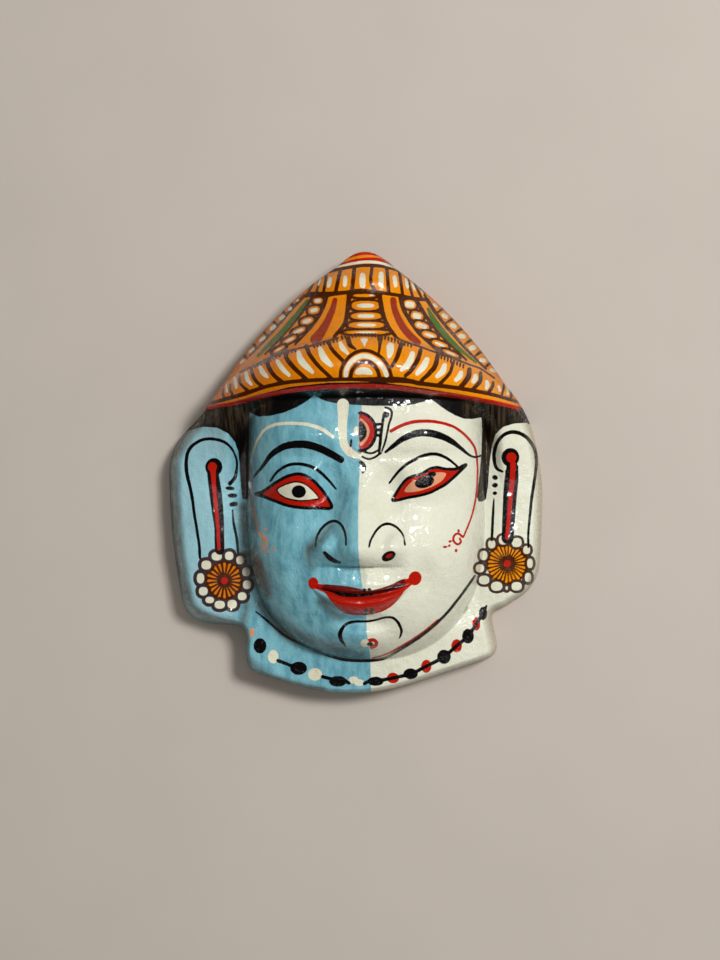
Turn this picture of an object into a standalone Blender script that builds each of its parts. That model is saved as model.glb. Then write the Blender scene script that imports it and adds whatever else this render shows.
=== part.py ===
"""A papier-mache deity mask: one hollow painted shell with a face, two ears, a neck and a tall hat.

The mask lies on its back on the flat edge of its rim, with its face up: +Z out of the face, +Y towards
the tip of the hat and +X to the right of someone who looks at the face. Lengths are in metres.
The front is a height over the XY plane, worked out from named sizes. The back follows it at the depth
of the wall. Places on the face are measured from the face's middle line.
"""

import bpy
import numpy as np
from mathutils import Vector
from mathutils.geometry import delaunay_2d_cdt

# Shell
WALL = 0.003
RIM_WIDTH = 0.0032
SKIRT_RUN = 0.0045
SKIRT_POWER = 2.3
HAT_SKIRT_RUN = 0.0028
HAT_SKIRT_LOW_Y = 0.0220
HAT_SKIRT_HIGH_Y = 0.0360
LEFT_EAR_SKIRT_RUN = 0.0100
LEFT_EAR_SKIRT_START_X = -0.0600
LEFT_EAR_SKIRT_END_X = -0.0800
LEFT_EAR_SKIRT_LOW_Y = 0.0100
LEFT_EAR_SKIRT_HIGH_Y = 0.0300
INNER_WALL_SLOPE = 7.0

# How far the corners of the mask reach before they are rounded: its tip, both ears and its neck
TIP_REACH_Y = 0.1056
RIGHT_REACH_X = 0.0785
LEFT_REACH_X = -0.0933
NECK_REACH_Y = -0.1051

# Outline of the rim, clockwise from the tip: X and Y of each corner, how far it is rounded along both
# of its edges, and how far the edge that follows bows outwards
HAT_TIP = (-0.0006, TIP_REACH_Y, 0.0190, 0.0034)
RIGHT_BRIM_END = (RIGHT_REACH_X - 0.0063, 0.0275, 0.0150, 0.0002)
RIGHT_EAR_SIDE = (RIGHT_REACH_X, -0.0040, 0.0090, 0.0002)
RIGHT_EAR_FOOT = (RIGHT_REACH_X - 0.0017, -0.0533, 0.0135, 0.0006)
RIGHT_NOTCH = (0.0548, -0.0640, 0.0040, 0.0000)
RIGHT_NECK_FOOT = (0.0590, NECK_REACH_Y + 0.0219, 0.0065, 0.0000)
NECK_FOOT = (-0.0066, NECK_REACH_Y, 0.0275, 0.0000)
LEFT_NECK_FOOT = (-0.0560, NECK_REACH_Y + 0.0143, 0.0065, 0.0000)
LEFT_NOTCH = (-0.0557, -0.0708, 0.0035, 0.0000)
LEFT_EAR_FOOT = (LEFT_REACH_X + 0.0083, -0.0690, 0.0130, 0.0012)
LEFT_EAR_TOP = (LEFT_REACH_X, 0.0090, 0.0140, 0.0000)
LEFT_BRIM_END = (LEFT_REACH_X + 0.0198, 0.0290, 0.0090, 0.0050)
OUTLINE = (
    HAT_TIP,
    RIGHT_BRIM_END,
    RIGHT_EAR_SIDE,
    RIGHT_EAR_FOOT,
    RIGHT_NOTCH,
    RIGHT_NECK_FOOT,
    NECK_FOOT,
    LEFT_NECK_FOOT,
    LEFT_NOTCH,
    LEFT_EAR_FOOT,
    LEFT_EAR_TOP,
    LEFT_BRIM_END,
)
OUTLINE_EVENING = 0.0022
ROUGH_OUTLINE_COUNT = 2400
CORNER_COUNT = 12
EDGE_COUNT = 60

# Ears and neck, the flat parts round the head
FLANGE_HEIGHT = 0.0215
FLANGE_TIP_HEIGHT = 0.0070
EAR_TOP_START_Y = 0.0110
EAR_TOP_END_Y = 0.0215
EAR_TOP_DIP = 0.0040
EAR_CROWN = 0.0040
EAR_HALF_WIDTH = 0.0221
EAR_HALF_LENGTH = 0.0520
EAR_Y = -0.0220
LEFT_EAR_X = LEFT_REACH_X + 0.0243
RIGHT_EAR_X = RIGHT_REACH_X - 0.0130
NECK_HEIGHT = 0.0275
NECK_SIDE_FALL = 0.0060
NECK_FOOT_SLOPE = 0.15
NECK_TOP_Y = -0.0700
NECK_FADE_RUN = 0.0300
NECK_FADE_FALL = 0.0200

# Head
HEAD_HALF_WIDTH = 0.0530
JAW_START_Y = -0.0200
JAW_LENGTH = 0.0640
JAW_SQUARENESS = 2.4
HEAD_FULLNESS = 3.4
HEAD_FOOT_DROP = 0.0040
RELIEF_END = 0.85
HAIRLINE_HEIGHT = 0.0535
FOREHEAD_HEIGHT = 0.0560
EYE_LEVEL_HEIGHT = 0.0545
MOUTH_LEVEL_HEIGHT = 0.0560
CHIN_LEVEL_HEIGHT = 0.0560
FOREHEAD_Y = 0.0180
EYE_LEVEL_Y = -0.0050
MOUTH_LEVEL_Y = -0.0520
CHIN_LEVEL_Y = -0.0760
CROWN_START_Y = 0.0300
CROWN_LENGTH = 0.0420

# Nose
NOSE_ROOT_Y = 0.0060
NOSE_TIP_Y = -0.0325
NOSE_ROOT_RISE = 0.0012
NOSE_TIP_RISE = 0.0175
NOSE_ROOT_HALF_WIDTH = 0.0065
NOSE_TIP_HALF_WIDTH = 0.0125
NOSE_UNDER_RUN = 0.0085
NOSE_BROW_RUN = 0.0120
NOSE_RISE_POWER = 1.25
NOSE_ROOT_SPREAD = 0.40
WING = (0.0130, -0.0325, 0.0108, 0.0100, 0.0095)
WING_BLEND = 0.004

# Mouth
MOUTH_HALF_WIDTH = 0.0215
MOUTH_LINE_Y = -0.0532
MOUTH_CORNER_LIFT = 0.0040
UPPER_LIP_DEPTH = 0.0042
UPPER_LIP_RISE = 0.0030
UPPER_LIP_LEAN = 0.7
UPPER_LIP_CORNER = 0.25
LOWER_LIP_DEPTH = 0.0088
LOWER_LIP_RISE = 0.0046
LOWER_LIP_LEAN = 0.8
LOWER_LIP_CORNER = 0.10
LIP_TAPER = 0.6
MOUTH_GROOVE = 0.0017
MOUTH_GROOVE_HALF_WIDTH = 0.0016

# Soft forms of the face: X beside the middle line, Y, half width, half length and rise, as for the wing
CHEEK = (0.0290, -0.0330, 0.0240, 0.0230, 0.0042)
EYEBALL = (0.0270, -0.0052, 0.0185, 0.0115, 0.0036)
BROW_RIDGE = (0.0260, 0.0150, 0.0250, 0.0100, 0.0020)
LID_FURROW = (0.0260, 0.0060, 0.0220, 0.0042, -0.0007)
EYE_CORNER = (0.0130, -0.0080, 0.0100, 0.0120, -0.0030)
CHEEK_FURROW = (0.0270, -0.0440, 0.0070, 0.0120, -0.0016)
MUZZLE = (0.0, -0.0530, 0.0320, 0.0180, 0.0030)
LIP_HOLLOW = (0.0, -0.0650, 0.0160, 0.0055, -0.0030)
CHIN = (0.0, -0.0735, 0.0160, 0.0105, 0.0040)
LIP_GUTTER = (0.0, -0.0455, 0.0035, 0.0055, -0.0010)
SOFT_FORMS = (
    CHEEK,
    EYEBALL,
    BROW_RIDGE,
    LID_FURROW,
    EYE_CORNER,
    CHEEK_FURROW,
    MUZZLE,
    LIP_HOLLOW,
    CHIN,
    LIP_GUTTER,
)

# Hat
HAT_TIP_Y = TIP_REACH_Y - 0.0030
HAT_FOOT_Y = 0.0280
HAT_LEFT_HALF_WIDTH = 0.0765
HAT_RIGHT_HALF_WIDTH = 0.0725
HAT_LEFT_TAPER = 0.70
HAT_RIGHT_TAPER = 0.78
HAT_ROUNDNESS = 2.4
BRIM_Y = 0.0335
BRIM_DROP = 0.0076
BRIM_DROP_X = 0.0720
BRIM_DROP_POWER = 2.3
BRIM_UNDERCUT_SLOPE = 3.5
BRIM_SIDE_SLOPE = 0.9
BRIM_SIDE_START_X = 0.0420
BRIM_SIDE_END_X = 0.0620
BRIM_SIDE_LEAD = 0.0080
BRIM_HEIGHT = 0.0600
BAND_TOP_Y = 0.0575
BAND_DROP = 0.0150
BAND_DROP_X = 0.0570
BAND_LEAST = 0.0060
BAND_RISE = 0.0108
BAND_FULLNESS = 0.60
BAND_LEAN = 0.85
BAND_TAPER = 0.70
BAND_CREASE_HEIGHT = 0.0560
CONE_MIDDLE_Y = 0.0665
CONE_MIDDLE_HEIGHT = 0.0475
RING_FOOT_Y = 0.0778
RING_FOOT_HEIGHT = 0.0385
RING_MIDDLE_Y = 0.0835
RING_MIDDLE_HEIGHT = 0.0372
RING_TOP_Y = 0.0900
RING_TOP_HEIGHT = 0.0290
CAP_HEIGHT = 0.0230

# How softly neighbouring forms run together
HEAD_BLEND = 0.0045
BRIM_BLEND = 0.0014
BRIM_SIDE_BLEND = 0.0100
NECK_BLEND = 0.0040

# Facets
OUTLINE_STEP = 0.0034
SKIRT_RINGS = (0.0009, 0.0024, 0.0046, 0.0078)
COARSE_STEP = 0.0046
BEND_REACH = 0.0012
BEND_LIMIT = 0.15
BACK_STEP = 0.0072
BACK_RINGS = (0.0016, 0.0045)
BACK_HEAD_RINGS = (0.84, 0.90, 0.945, 1.0)
HEAD_RINGS = (0.91, 0.965, 0.992, 1.02)
FEATURE_STEP = 0.0026
MOUTH_STEP = 0.0019
LIP_ROWS_UP = (0.0, 0.4, 1.0)
LIP_ROWS_DOWN = (0.22, 0.6, 1.0)
NOSE_COLUMNS = (-1.6, -0.8, -0.25, 0.25, 0.8, 1.6)
NOSE_UNDER_ROWS = (0.5, 0.85, 1.0)
NOSE_UNDER_REACH = 2.0
NOSE_UNDER_STEP = 0.2
FORM_RINGS = ((EYEBALL, 0.45, 12), (EYEBALL, 0.8, 20), (WING, 0.5, 8), (WING, 0.95, 14))
WALL_SAMPLES = 12
WALL_SHARES = (0.45, 0.8, 1.0)


def smooth_step(low, high, value):
    """0 below low, 1 above high and a smooth S between them."""
    share = np.clip((value - low) / (high - low), 0.0, 1.0)
    return share * share * (3.0 - 2.0 * share)


def smooth_max(a, b, blend):
    """The higher of two surfaces, with their meeting line rounded over the blend length."""
    share = np.clip(0.5 + 0.5 * (a - b) / blend, 0.0, 1.0)
    return b + (a - b) * share + blend * share * (1.0 - share)


def mound(x, y, form):
    """A smooth low mound on both sides of the middle line: rise times (1 - r squared) squared."""
    beside, along, half_width, half_length, rise = form
    r_squared = ((np.abs(x) - beside) / half_width) ** 2 + ((y - along) / half_length) ** 2
    return rise * np.clip(1.0 - r_squared, 0.0, 1.0) ** 2


def through(y, *places):
    """A smooth curve over Y through the given places, by S-shaped steps between neighbours' slopes."""
    at = np.array([place[0] for place in places])
    value = np.array([place[1] for place in places])
    slope = np.gradient(value, at)
    part = np.clip(np.searchsorted(at, y) - 1, 0, len(at) - 2)
    length = at[part + 1] - at[part]
    t = np.clip((y - at[part]) / length, 0.0, 1.0)
    rise = (value[part + 1] - value[part]) * (3.0 - 2.0 * t) * t * t
    start = slope[part] * length * t * (1.0 - t) ** 2
    end = slope[part + 1] * length * t * t * (t - 1.0)
    return value[part] + rise + start + end


def outline_points(step):
    """The rim's outline as evenly spaced points, clockwise: bowed edges, joined by rounded corners."""
    corners = np.array([corner[:2] for corner in OUTLINE])
    before = np.roll(corners, 1, axis=0) - corners
    after = np.roll(corners, -1, axis=0) - corners
    before /= np.linalg.norm(before, axis=1, keepdims=True)
    after /= np.linalg.norm(after, axis=1, keepdims=True)
    pieces = []
    for i, (_, _, reach, bow) in enumerate(OUTLINE):
        following = (i + 1) % len(OUTLINE)
        t = np.linspace(0.0, 1.0, CORNER_COUNT)[:, None]
        start = corners[i] + before[i] * reach
        end = corners[i] + after[i] * reach
        pieces.append(start * (1 - t) ** 2 + corners[i] * 2 * t * (1 - t) + end * t * t)
        next_start = corners[following] + before[following] * OUTLINE[following][2]
        outwards = np.array([-after[i][1], after[i][0]])
        t = np.linspace(0.0, 1.0, EDGE_COUNT)[1:-1, None]
        pieces.append(end * (1 - t) + next_start * t + outwards * 4.0 * bow * t * (1 - t))
    dense = spaced(np.vstack(pieces), ROUGH_OUTLINE_COUNT)
    spacing = np.linalg.norm(dense[1] - dense[0])
    half = int(round(OUTLINE_EVENING / spacing))
    kernel = np.hanning(2 * half + 3)[1:-1]
    kernel /= kernel.sum()
    padded = np.vstack([dense[-half:], dense, dense[:half]])
    even = np.stack([np.convolve(padded[:, k], kernel, "valid") for k in range(2)], axis=1)
    length = np.linalg.norm(np.roll(even, -1, axis=0) - even, axis=1).sum()
    return spaced(even, int(round(length / step)))


def spaced(loop, count):
    """A closed loop of points resampled to this many points at equal spacing."""
    closed = np.vstack([loop, loop[:1]])
    run = np.concatenate([[0.0], np.cumsum(np.linalg.norm(np.diff(closed, axis=0), axis=1))])
    at = np.linspace(0.0, run[-1], count, endpoint=False)
    return np.stack([np.interp(at, run, closed[:, k]) for k in range(2)], axis=1)


def inset(loop, distance):
    """A clockwise loop moved inwards along its own normals."""
    along = np.roll(loop, -1, axis=0) - np.roll(loop, 1, axis=0)
    along /= np.linalg.norm(along, axis=1, keepdims=True)
    return loop + distance * np.stack([along[:, 1], -along[:, 0]], axis=1)


def distance_inside(x, y, loop):
    """How far each point is inside a closed loop, and minus how far it is outside."""
    start = loop
    run = np.roll(loop, -1, axis=0) - loop
    nearest = np.full(x.shape, np.inf)
    crossings = np.zeros(x.shape, dtype=int)
    for (ax, ay), (dx, dy) in zip(start, run):
        t = np.clip(((x - ax) * dx + (y - ay) * dy) / (dx * dx + dy * dy), 0.0, 1.0)
        nearest = np.minimum(nearest, (x - ax - t * dx) ** 2 + (y - ay - t * dy) ** 2)
        spans = (ay > y) != (ay + dy > y)
        rise = dy if dy else 1.0
        crossings += spans & (x < ax + (y - ay) * dx / rise)
    return np.where(crossings % 2 == 1, 1.0, -1.0) * np.sqrt(nearest)


def flange_height(x, y):
    """The ears, and the low border round the head, that carries them up to the hat's tip."""
    border = through(
        y,
        (EAR_Y, FLANGE_HEIGHT),
        (HAT_FOOT_Y, FLANGE_HEIGHT),
        (HAT_TIP_Y, FLANGE_TIP_HEIGHT),
    )
    border = border - EAR_TOP_DIP * smooth_step(EAR_TOP_START_Y, EAR_TOP_END_Y, y)
    for ear_x in (LEFT_EAR_X, RIGHT_EAR_X):
        border = border + mound(x - ear_x, y, (0.0, EAR_Y, EAR_HALF_WIDTH, EAR_HALF_LENGTH, EAR_CROWN))
    side = (x / HEAD_HALF_WIDTH) ** 2
    below = np.clip(NECK_TOP_Y - y, 0.0, None)
    neck = NECK_HEIGHT - NECK_SIDE_FALL * side - NECK_FOOT_SLOPE * below
    neck = neck - NECK_FADE_FALL * smooth_step(NECK_TOP_Y, NECK_TOP_Y + NECK_FADE_RUN, y)
    return smooth_max(border, neck, NECK_BLEND)


def nose_rise(x, y):
    """A ridge that widens and rises from its root to its tip, round below, between two nostril wings."""
    down = np.clip((NOSE_ROOT_Y - y) / (NOSE_ROOT_Y - NOSE_TIP_Y), 0.0, 1.0)
    half_width = NOSE_ROOT_HALF_WIDTH + (NOSE_TIP_HALF_WIDTH - NOSE_ROOT_HALF_WIDTH) * down
    rise = NOSE_ROOT_RISE * smooth_step(-NOSE_ROOT_SPREAD, NOSE_ROOT_SPREAD, down)
    rise = rise + (NOSE_TIP_RISE - NOSE_ROOT_RISE) * down**NOSE_RISE_POWER
    above = smooth_step(NOSE_ROOT_Y + NOSE_BROW_RUN, NOSE_ROOT_Y, y)
    under = np.clip((NOSE_TIP_Y - y) / NOSE_UNDER_RUN, 0.0, 1.0)
    round_under = np.sqrt(np.clip(1.0 - under * under, 0.0, 1.0))
    ridge = rise * above * round_under * np.exp(-((x / half_width) ** 2))
    return smooth_max(ridge, mound(x, y, WING), WING_BLEND) - 0.25 * WING_BLEND


def lip_places(x):
    """The mouth's line, and how deep the upper and the lower lip are above and below it."""
    across = np.clip(1.0 - (x / MOUTH_HALF_WIDTH) ** 2, 0.0, 1.0)
    line = MOUTH_LINE_Y + MOUTH_CORNER_LIFT * (1.0 - across)
    upper = UPPER_LIP_DEPTH * (UPPER_LIP_CORNER + (1.0 - UPPER_LIP_CORNER) * across)
    lower = LOWER_LIP_DEPTH * (LOWER_LIP_CORNER + (1.0 - LOWER_LIP_CORNER) * across)
    return across, line, upper, lower


def mouth_rise(x, y):
    """Two lips that taper to the lifted corners, with a groove along the line between them."""
    across, line, upper_depth, lower_depth = lip_places(x)
    from_line = y - line
    upper = np.clip(from_line / upper_depth, 0.0, 1.0)
    lower = np.clip(-from_line / lower_depth, 0.0, 1.0)
    upper_lip = UPPER_LIP_RISE * np.sin(np.pi * upper**UPPER_LIP_LEAN) * (from_line > 0)
    lower_lip = LOWER_LIP_RISE * np.sin(np.pi * lower**LOWER_LIP_LEAN) * (from_line <= 0)
    groove = MOUTH_GROOVE * np.exp(-((from_line / MOUTH_GROOVE_HALF_WIDTH) ** 2)) * across**0.5
    return (upper_lip + lower_lip) * across**LIP_TAPER - groove


def face_height(x, y):
    """The head: a full dome with a rounded jaw, and the nose, mouth, cheeks, eyes and chin on it."""
    middle = through(
        y,
        (CHIN_LEVEL_Y, CHIN_LEVEL_HEIGHT),
        (MOUTH_LEVEL_Y, MOUTH_LEVEL_HEIGHT),
        (EYE_LEVEL_Y, EYE_LEVEL_HEIGHT),
        (FOREHEAD_Y, FOREHEAD_HEIGHT),
        (BRIM_Y, HAIRLINE_HEIGHT),
    )
    across = np.abs(x) / HEAD_HALF_WIDTH
    down = np.clip((JAW_START_Y - y) / JAW_LENGTH, 0.0, None)
    up = np.clip((y - CROWN_START_Y) / CROWN_LENGTH, 0.0, None)
    out = (across**JAW_SQUARENESS + (down + up) ** JAW_SQUARENESS) ** (1.0 / JAW_SQUARENESS)
    base = FLANGE_HEIGHT - HEAD_FOOT_DROP
    dome = base + (middle - base) * np.sqrt(np.clip(1.0 - out**HEAD_FULLNESS, 0.0, 1.0))
    relief = sum(mound(x, y, form) for form in SOFT_FORMS) + nose_rise(x, y) + mouth_rise(x, y)
    return dome + relief * smooth_step(1.0, RELIEF_END, out)


def brim_y(x):
    """Where the brim's lower edge runs: level over the brow and lower towards both ends."""
    return BRIM_Y - BRIM_DROP * (np.abs(x) / BRIM_DROP_X) ** BRIM_DROP_POWER


def band_top_y(x):
    """Where the crease over the band runs. It drops faster than the brim, so the band narrows."""
    return np.maximum(BAND_TOP_Y - BAND_DROP * (x / BAND_DROP_X) ** 2, brim_y(x) + BAND_LEAST)


def hat_height(x, y):
    """The hat: a bulging band over the brim, a hollow-sided cone, a raised ring and a round cap."""
    below_tip = np.clip(HAT_TIP_Y - y, 0.0, None) / (HAT_TIP_Y - HAT_FOOT_Y)
    left = HAT_LEFT_HALF_WIDTH * below_tip**HAT_LEFT_TAPER
    right = HAT_RIGHT_HALF_WIDTH * below_tip**HAT_RIGHT_TAPER
    half_width = np.where(x < 0.0, left, right) + 1e-6
    out = np.clip(np.abs(x) / half_width, 0.0, 1.0)
    brim = brim_y(x)
    band_top = band_top_y(x)
    in_band = (y - brim) / (band_top - brim)
    level = np.where(in_band < 1.0, BRIM_Y + (BAND_TOP_Y - BRIM_Y) * in_band, BAND_TOP_Y + y - band_top)
    profile = through(
        level,
        (BRIM_Y, BRIM_HEIGHT),
        (BAND_TOP_Y, BAND_CREASE_HEIGHT),
        (CONE_MIDDLE_Y, CONE_MIDDLE_HEIGHT),
        (RING_FOOT_Y, RING_FOOT_HEIGHT),
        (RING_MIDDLE_Y, RING_MIDDLE_HEIGHT),
        (RING_TOP_Y, RING_TOP_HEIGHT),
        (HAT_TIP_Y, CAP_HEIGHT),
    )
    narrowing = (band_top - brim) / (BAND_TOP_Y - BRIM_Y)
    bulge = np.sin(np.pi * np.clip(in_band, 0.0, 1.0) ** BAND_LEAN) ** BAND_FULLNESS
    profile = profile + BAND_RISE * bulge * narrowing**BAND_TAPER
    over = profile * np.sqrt(np.clip(1.0 - out**HAT_ROUNDNESS, 0.0, 1.0))
    aside = smooth_step(BRIM_SIDE_START_X, BRIM_SIDE_END_X, np.abs(x))
    slope = BRIM_UNDERCUT_SLOPE + (BRIM_SIDE_SLOPE - BRIM_UNDERCUT_SLOPE) * aside
    return over - slope * np.clip(brim - y, 0.0, None)


def front_height(x, y, outline):
    """The height of the mask's front over each point. It falls to the rim's plane round the outline."""
    head = smooth_max(face_height(x, y), flange_height(x, y), HEAD_BLEND)
    aside = smooth_step(BRIM_SIDE_START_X - BRIM_SIDE_LEAD, BRIM_SIDE_END_X, np.abs(x))
    top = smooth_max(head, hat_height(x, y), BRIM_BLEND + (BRIM_SIDE_BLEND - BRIM_BLEND) * aside)
    by_ear = smooth_step(LEFT_EAR_SKIRT_START_X, LEFT_EAR_SKIRT_END_X, x)
    by_ear = by_ear * smooth_step(LEFT_EAR_SKIRT_HIGH_Y, LEFT_EAR_SKIRT_LOW_Y, y)
    by_hat = smooth_step(HAT_SKIRT_LOW_Y, HAT_SKIRT_HIGH_Y, y)
    run = SKIRT_RUN + (LEFT_EAR_SKIRT_RUN - SKIRT_RUN) * by_ear + (HAT_SKIRT_RUN - SKIRT_RUN) * by_hat
    out = np.clip(1.0 - distance_inside(x, y, outline) / run, 0.0, 1.0)
    return top * (1.0 - out**SKIRT_POWER)


def back_height(x, y, outline):
    """The height of the hollow over each point: the front, less a ball of the wall's depth all round."""
    angle = np.linspace(0.0, 2.0 * np.pi, WALL_SAMPLES, endpoint=False)
    lowest = front_height(x, y, outline) - WALL
    for share in WALL_SHARES:
        depth = WALL * np.sqrt(1.0 - share * share)
        for dx, dy in zip(WALL * share * np.cos(angle), WALL * share * np.sin(angle)):
            lowest = np.minimum(lowest, front_height(x + dx, y + dy, outline) - depth)
    steep = INNER_WALL_SLOPE * (distance_inside(x, y, outline) - RIM_WIDTH)
    return np.clip(np.minimum(lowest, steep), 0.0, None)


def lattice(step, loop):
    """Points of a triangular lattice over the loop's box."""
    low = loop.min(axis=0)
    high = loop.max(axis=0)
    rows = np.arange(low[1], high[1], step * 0.866)
    columns = np.arange(low[0], high[0], step)
    x, y = np.meshgrid(columns, rows)
    x = x + 0.5 * step * (np.arange(len(rows)) % 2)[:, None]
    return x.ravel(), y.ravel()


def head_ring(share):
    """Points round the head at this share of its spread: straight sides over a squared-off oval jaw."""
    turn = np.linspace(0.0, np.pi, 181)
    power = 2.0 / JAW_SQUARENESS
    x = HEAD_HALF_WIDTH * share * np.sign(np.cos(turn)) * np.abs(np.cos(turn)) ** power
    y = JAW_START_Y - JAW_LENGTH * share * np.sin(turn) ** power
    side_y = np.arange(CROWN_START_Y, JAW_START_Y, -FEATURE_STEP)
    side_x = np.full(side_y.shape, HEAD_HALF_WIDTH * share)
    right = np.stack([side_x, side_y], axis=1)
    left = np.stack([-side_x, side_y], axis=1)[::-1]
    return np.vstack([right, np.stack([x, y], axis=1), left])


def feature_points():
    """Points along the lines that must show: head, brim, band, ring, nose and mouth."""
    found = [head_ring(share) for share in HEAD_RINGS]
    hat_x = np.arange(-BRIM_DROP_X, BRIM_DROP_X, FEATURE_STEP)
    foot = (BRIM_HEIGHT - HAIRLINE_HEIGHT) / BRIM_UNDERCUT_SLOPE
    for offset in (0.0, -foot):
        found.append(np.stack([hat_x, brim_y(hat_x) + offset], axis=1))
    for rise in (0.0, RING_FOOT_Y - BAND_TOP_Y, RING_MIDDLE_Y - BAND_TOP_Y):
        found.append(np.stack([hat_x, band_top_y(hat_x) + rise], axis=1))
    mouth_x = np.arange(-MOUTH_HALF_WIDTH, MOUTH_HALF_WIDTH, MOUTH_STEP) + 0.5 * MOUTH_STEP
    _, line, upper, lower = lip_places(mouth_x)
    rows = [line + share * upper for share in LIP_ROWS_UP] + [line - share * lower for share in LIP_ROWS_DOWN]
    lips = np.vstack([np.stack([mouth_x, y], axis=1) for y in rows])
    nose_y = np.arange(NOSE_TIP_Y, NOSE_ROOT_Y, FEATURE_STEP)
    down = (NOSE_ROOT_Y - nose_y) / (NOSE_ROOT_Y - NOSE_TIP_Y)
    half_width = NOSE_ROOT_HALF_WIDTH + (NOSE_TIP_HALF_WIDTH - NOSE_ROOT_HALF_WIDTH) * down
    for share in NOSE_COLUMNS:
        found.append(np.stack([share * half_width, nose_y], axis=1))
    for side in (-1.0, 1.0):
        for form, share, count in FORM_RINGS:
            found.append(form_ring(form, side, share, count))
    under_x = np.arange(-NOSE_UNDER_REACH, NOSE_UNDER_REACH, NOSE_UNDER_STEP) * NOSE_TIP_HALF_WIDTH
    for share in NOSE_UNDER_ROWS:
        found.append(np.stack([under_x, np.full(under_x.shape, NOSE_TIP_Y - share * NOSE_UNDER_RUN)], axis=1))
    return lips, np.vstack(found)


def form_ring(form, side, share, count):
    """Points round a mound of the face, on one side of the middle line, at this share of its size."""
    turn = np.linspace(0.0, 2.0 * np.pi, count, endpoint=False)
    x = side * form[0] + share * form[2] * np.cos(turn)
    y = form[1] + share * form[3] * np.sin(turn)
    return np.stack([x, y], axis=1)


def front_points(outline):
    """Points inside the outline: rings down the skirt, the feature lines, and a lattice that is finer
    where the form bends."""
    rings = []
    for depth in SKIRT_RINGS:
        ring = inset(outline, depth)
        rings.append(ring[distance_inside(*ring.T, outline) > 0.9 * depth])
    inner = SKIRT_RINGS[-1] + 0.35 * COARSE_STEP
    lips, features = feature_points()
    features = features[distance_inside(*features.T, outline) > inner]
    x, y = lattice(COARSE_STEP / 2.0, outline)
    keep = distance_inside(x, y, outline) > inner
    x, y = x[keep], y[keep]
    reach = ((BEND_REACH, 0.0), (-BEND_REACH, 0.0), (0.0, BEND_REACH), (0.0, -BEND_REACH))
    sides = sum(front_height(x + dx, y + dy, outline) for dx, dy in reach)
    bend = np.abs(sides - 4.0 * front_height(x, y, outline)) / BEND_REACH
    fine = np.stack([x, y], axis=1)[bend > BEND_LIMIT]
    x, y = lattice(COARSE_STEP, outline)
    keep = distance_inside(x, y, outline) > inner
    coarse = np.stack([x[keep], y[keep]], axis=1)
    kept = thinned(lips, lips[:1], 0.4 * MOUTH_STEP)
    kept = thinned(features, kept, 0.35 * COARSE_STEP)
    kept = thinned(np.vstack([fine, coarse]), kept, 0.42 * COARSE_STEP)
    return np.vstack(rings + [kept])


def thinned(points, kept, gap):
    """The kept points, and each further point that is at least the gap from all before it."""
    kept = list(kept)
    for point in points:
        if np.linalg.norm(np.array(kept) - point, axis=1).min() > gap:
            kept.append(point)
    return np.array(kept)


def back_points(ring, outline):
    """Points of the hollow: two rings at the foot of its wall and a coarse lattice."""
    foot = np.vstack([inset(ring, depth) for depth in BACK_RINGS])
    foot = foot[distance_inside(*foot.T, ring) > 0.6 * BACK_RINGS[0]]
    inner = BACK_RINGS[-1] + 0.4 * BACK_STEP
    heads = np.vstack([head_ring(share) for share in BACK_HEAD_RINGS])
    x, y = lattice(BACK_STEP, ring)
    every = np.vstack([heads, np.stack([x, y], axis=1)])
    every = every[distance_inside(*every.T, ring) > inner]
    return np.vstack([foot, thinned(every, every[:1], 0.45 * BACK_STEP)])


def triangles_inside(ring, inner):
    """Triangles that fill a closed ring through the points inside it, as rows of three indices."""
    every = np.vstack([ring, inner])
    edges = [(i, (i + 1) % len(ring)) for i in range(len(ring))]
    result = delaunay_2d_cdt([Vector(point) for point in every], edges, [], 1, 1e-7)
    faces = np.array([[result[3][corner][0] for corner in face] for face in result[2]])
    a, b, c = every[faces[:, 0]], every[faces[:, 1]], every[faces[:, 2]]
    turn = (b[:, 0] - a[:, 0]) * (c[:, 1] - a[:, 1]) - (b[:, 1] - a[:, 1]) * (c[:, 0] - a[:, 0])
    faces[turn < 0] = faces[turn < 0][:, ::-1]
    return every, faces


def mask_shell():
    """The whole mask: its front, its flat rim and its hollow back as one closed surface."""
    outline = outline_points(OUTLINE_STEP)
    edge = inset(outline, RIM_WIDTH)
    front, front_faces = triangles_inside(outline, front_points(outline))
    back, back_faces = triangles_inside(edge, back_points(edge, outline))
    front_z = front_height(*front.T, outline)
    back_z = back_height(*back.T, outline)
    front_z[: len(outline)] = 0.0
    back_z[: len(edge)] = 0.0
    flat = np.vstack([front, back])
    middle = 0.5 * (outline.min(axis=0) + outline.max(axis=0))
    points = np.column_stack([flat - middle, np.concatenate([front_z, back_z])])
    first = np.arange(len(outline))
    following = np.roll(first, -1)
    inner = first + len(front)
    inner_following = following + len(front)
    rim = np.vstack(
        [np.stack([first, following, inner], axis=1), np.stack([following, inner_following, inner], axis=1)]
    )
    faces = np.vstack([front_faces, back_faces[:, ::-1] + len(front), rim])
    mesh = bpy.data.meshes.new("mask_shell")
    mesh.from_pydata(points.tolist(), [], faces.tolist())
    mesh.shade_smooth()
    mesh.set_sharp_from_angle(angle=np.radians(50.0))
    return mesh


def lacquered_paper():
    """Painted and lacquered papier-mache, in the cream of the mask's ground coat."""
    material = bpy.data.materials.new("painted_papier_mache")
    material.use_nodes = True
    shader = material.node_tree.nodes["Principled BSDF"]
    shader.inputs["Base Color"].default_value = (0.72, 0.70, 0.58, 1.0)
    shader.inputs["Roughness"].default_value = 0.35
    shader.inputs["Metallic"].default_value = 0.0
    return material


def main():
    for obj in list(bpy.data.objects):
        bpy.data.objects.remove(obj, do_unlink=True)
    mesh = mask_shell()
    mesh.materials.append(lacquered_paper())
    shell = bpy.data.objects.new("mask_shell", mesh)
    bpy.context.scene.collection.objects.link(shell)


main()
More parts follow.
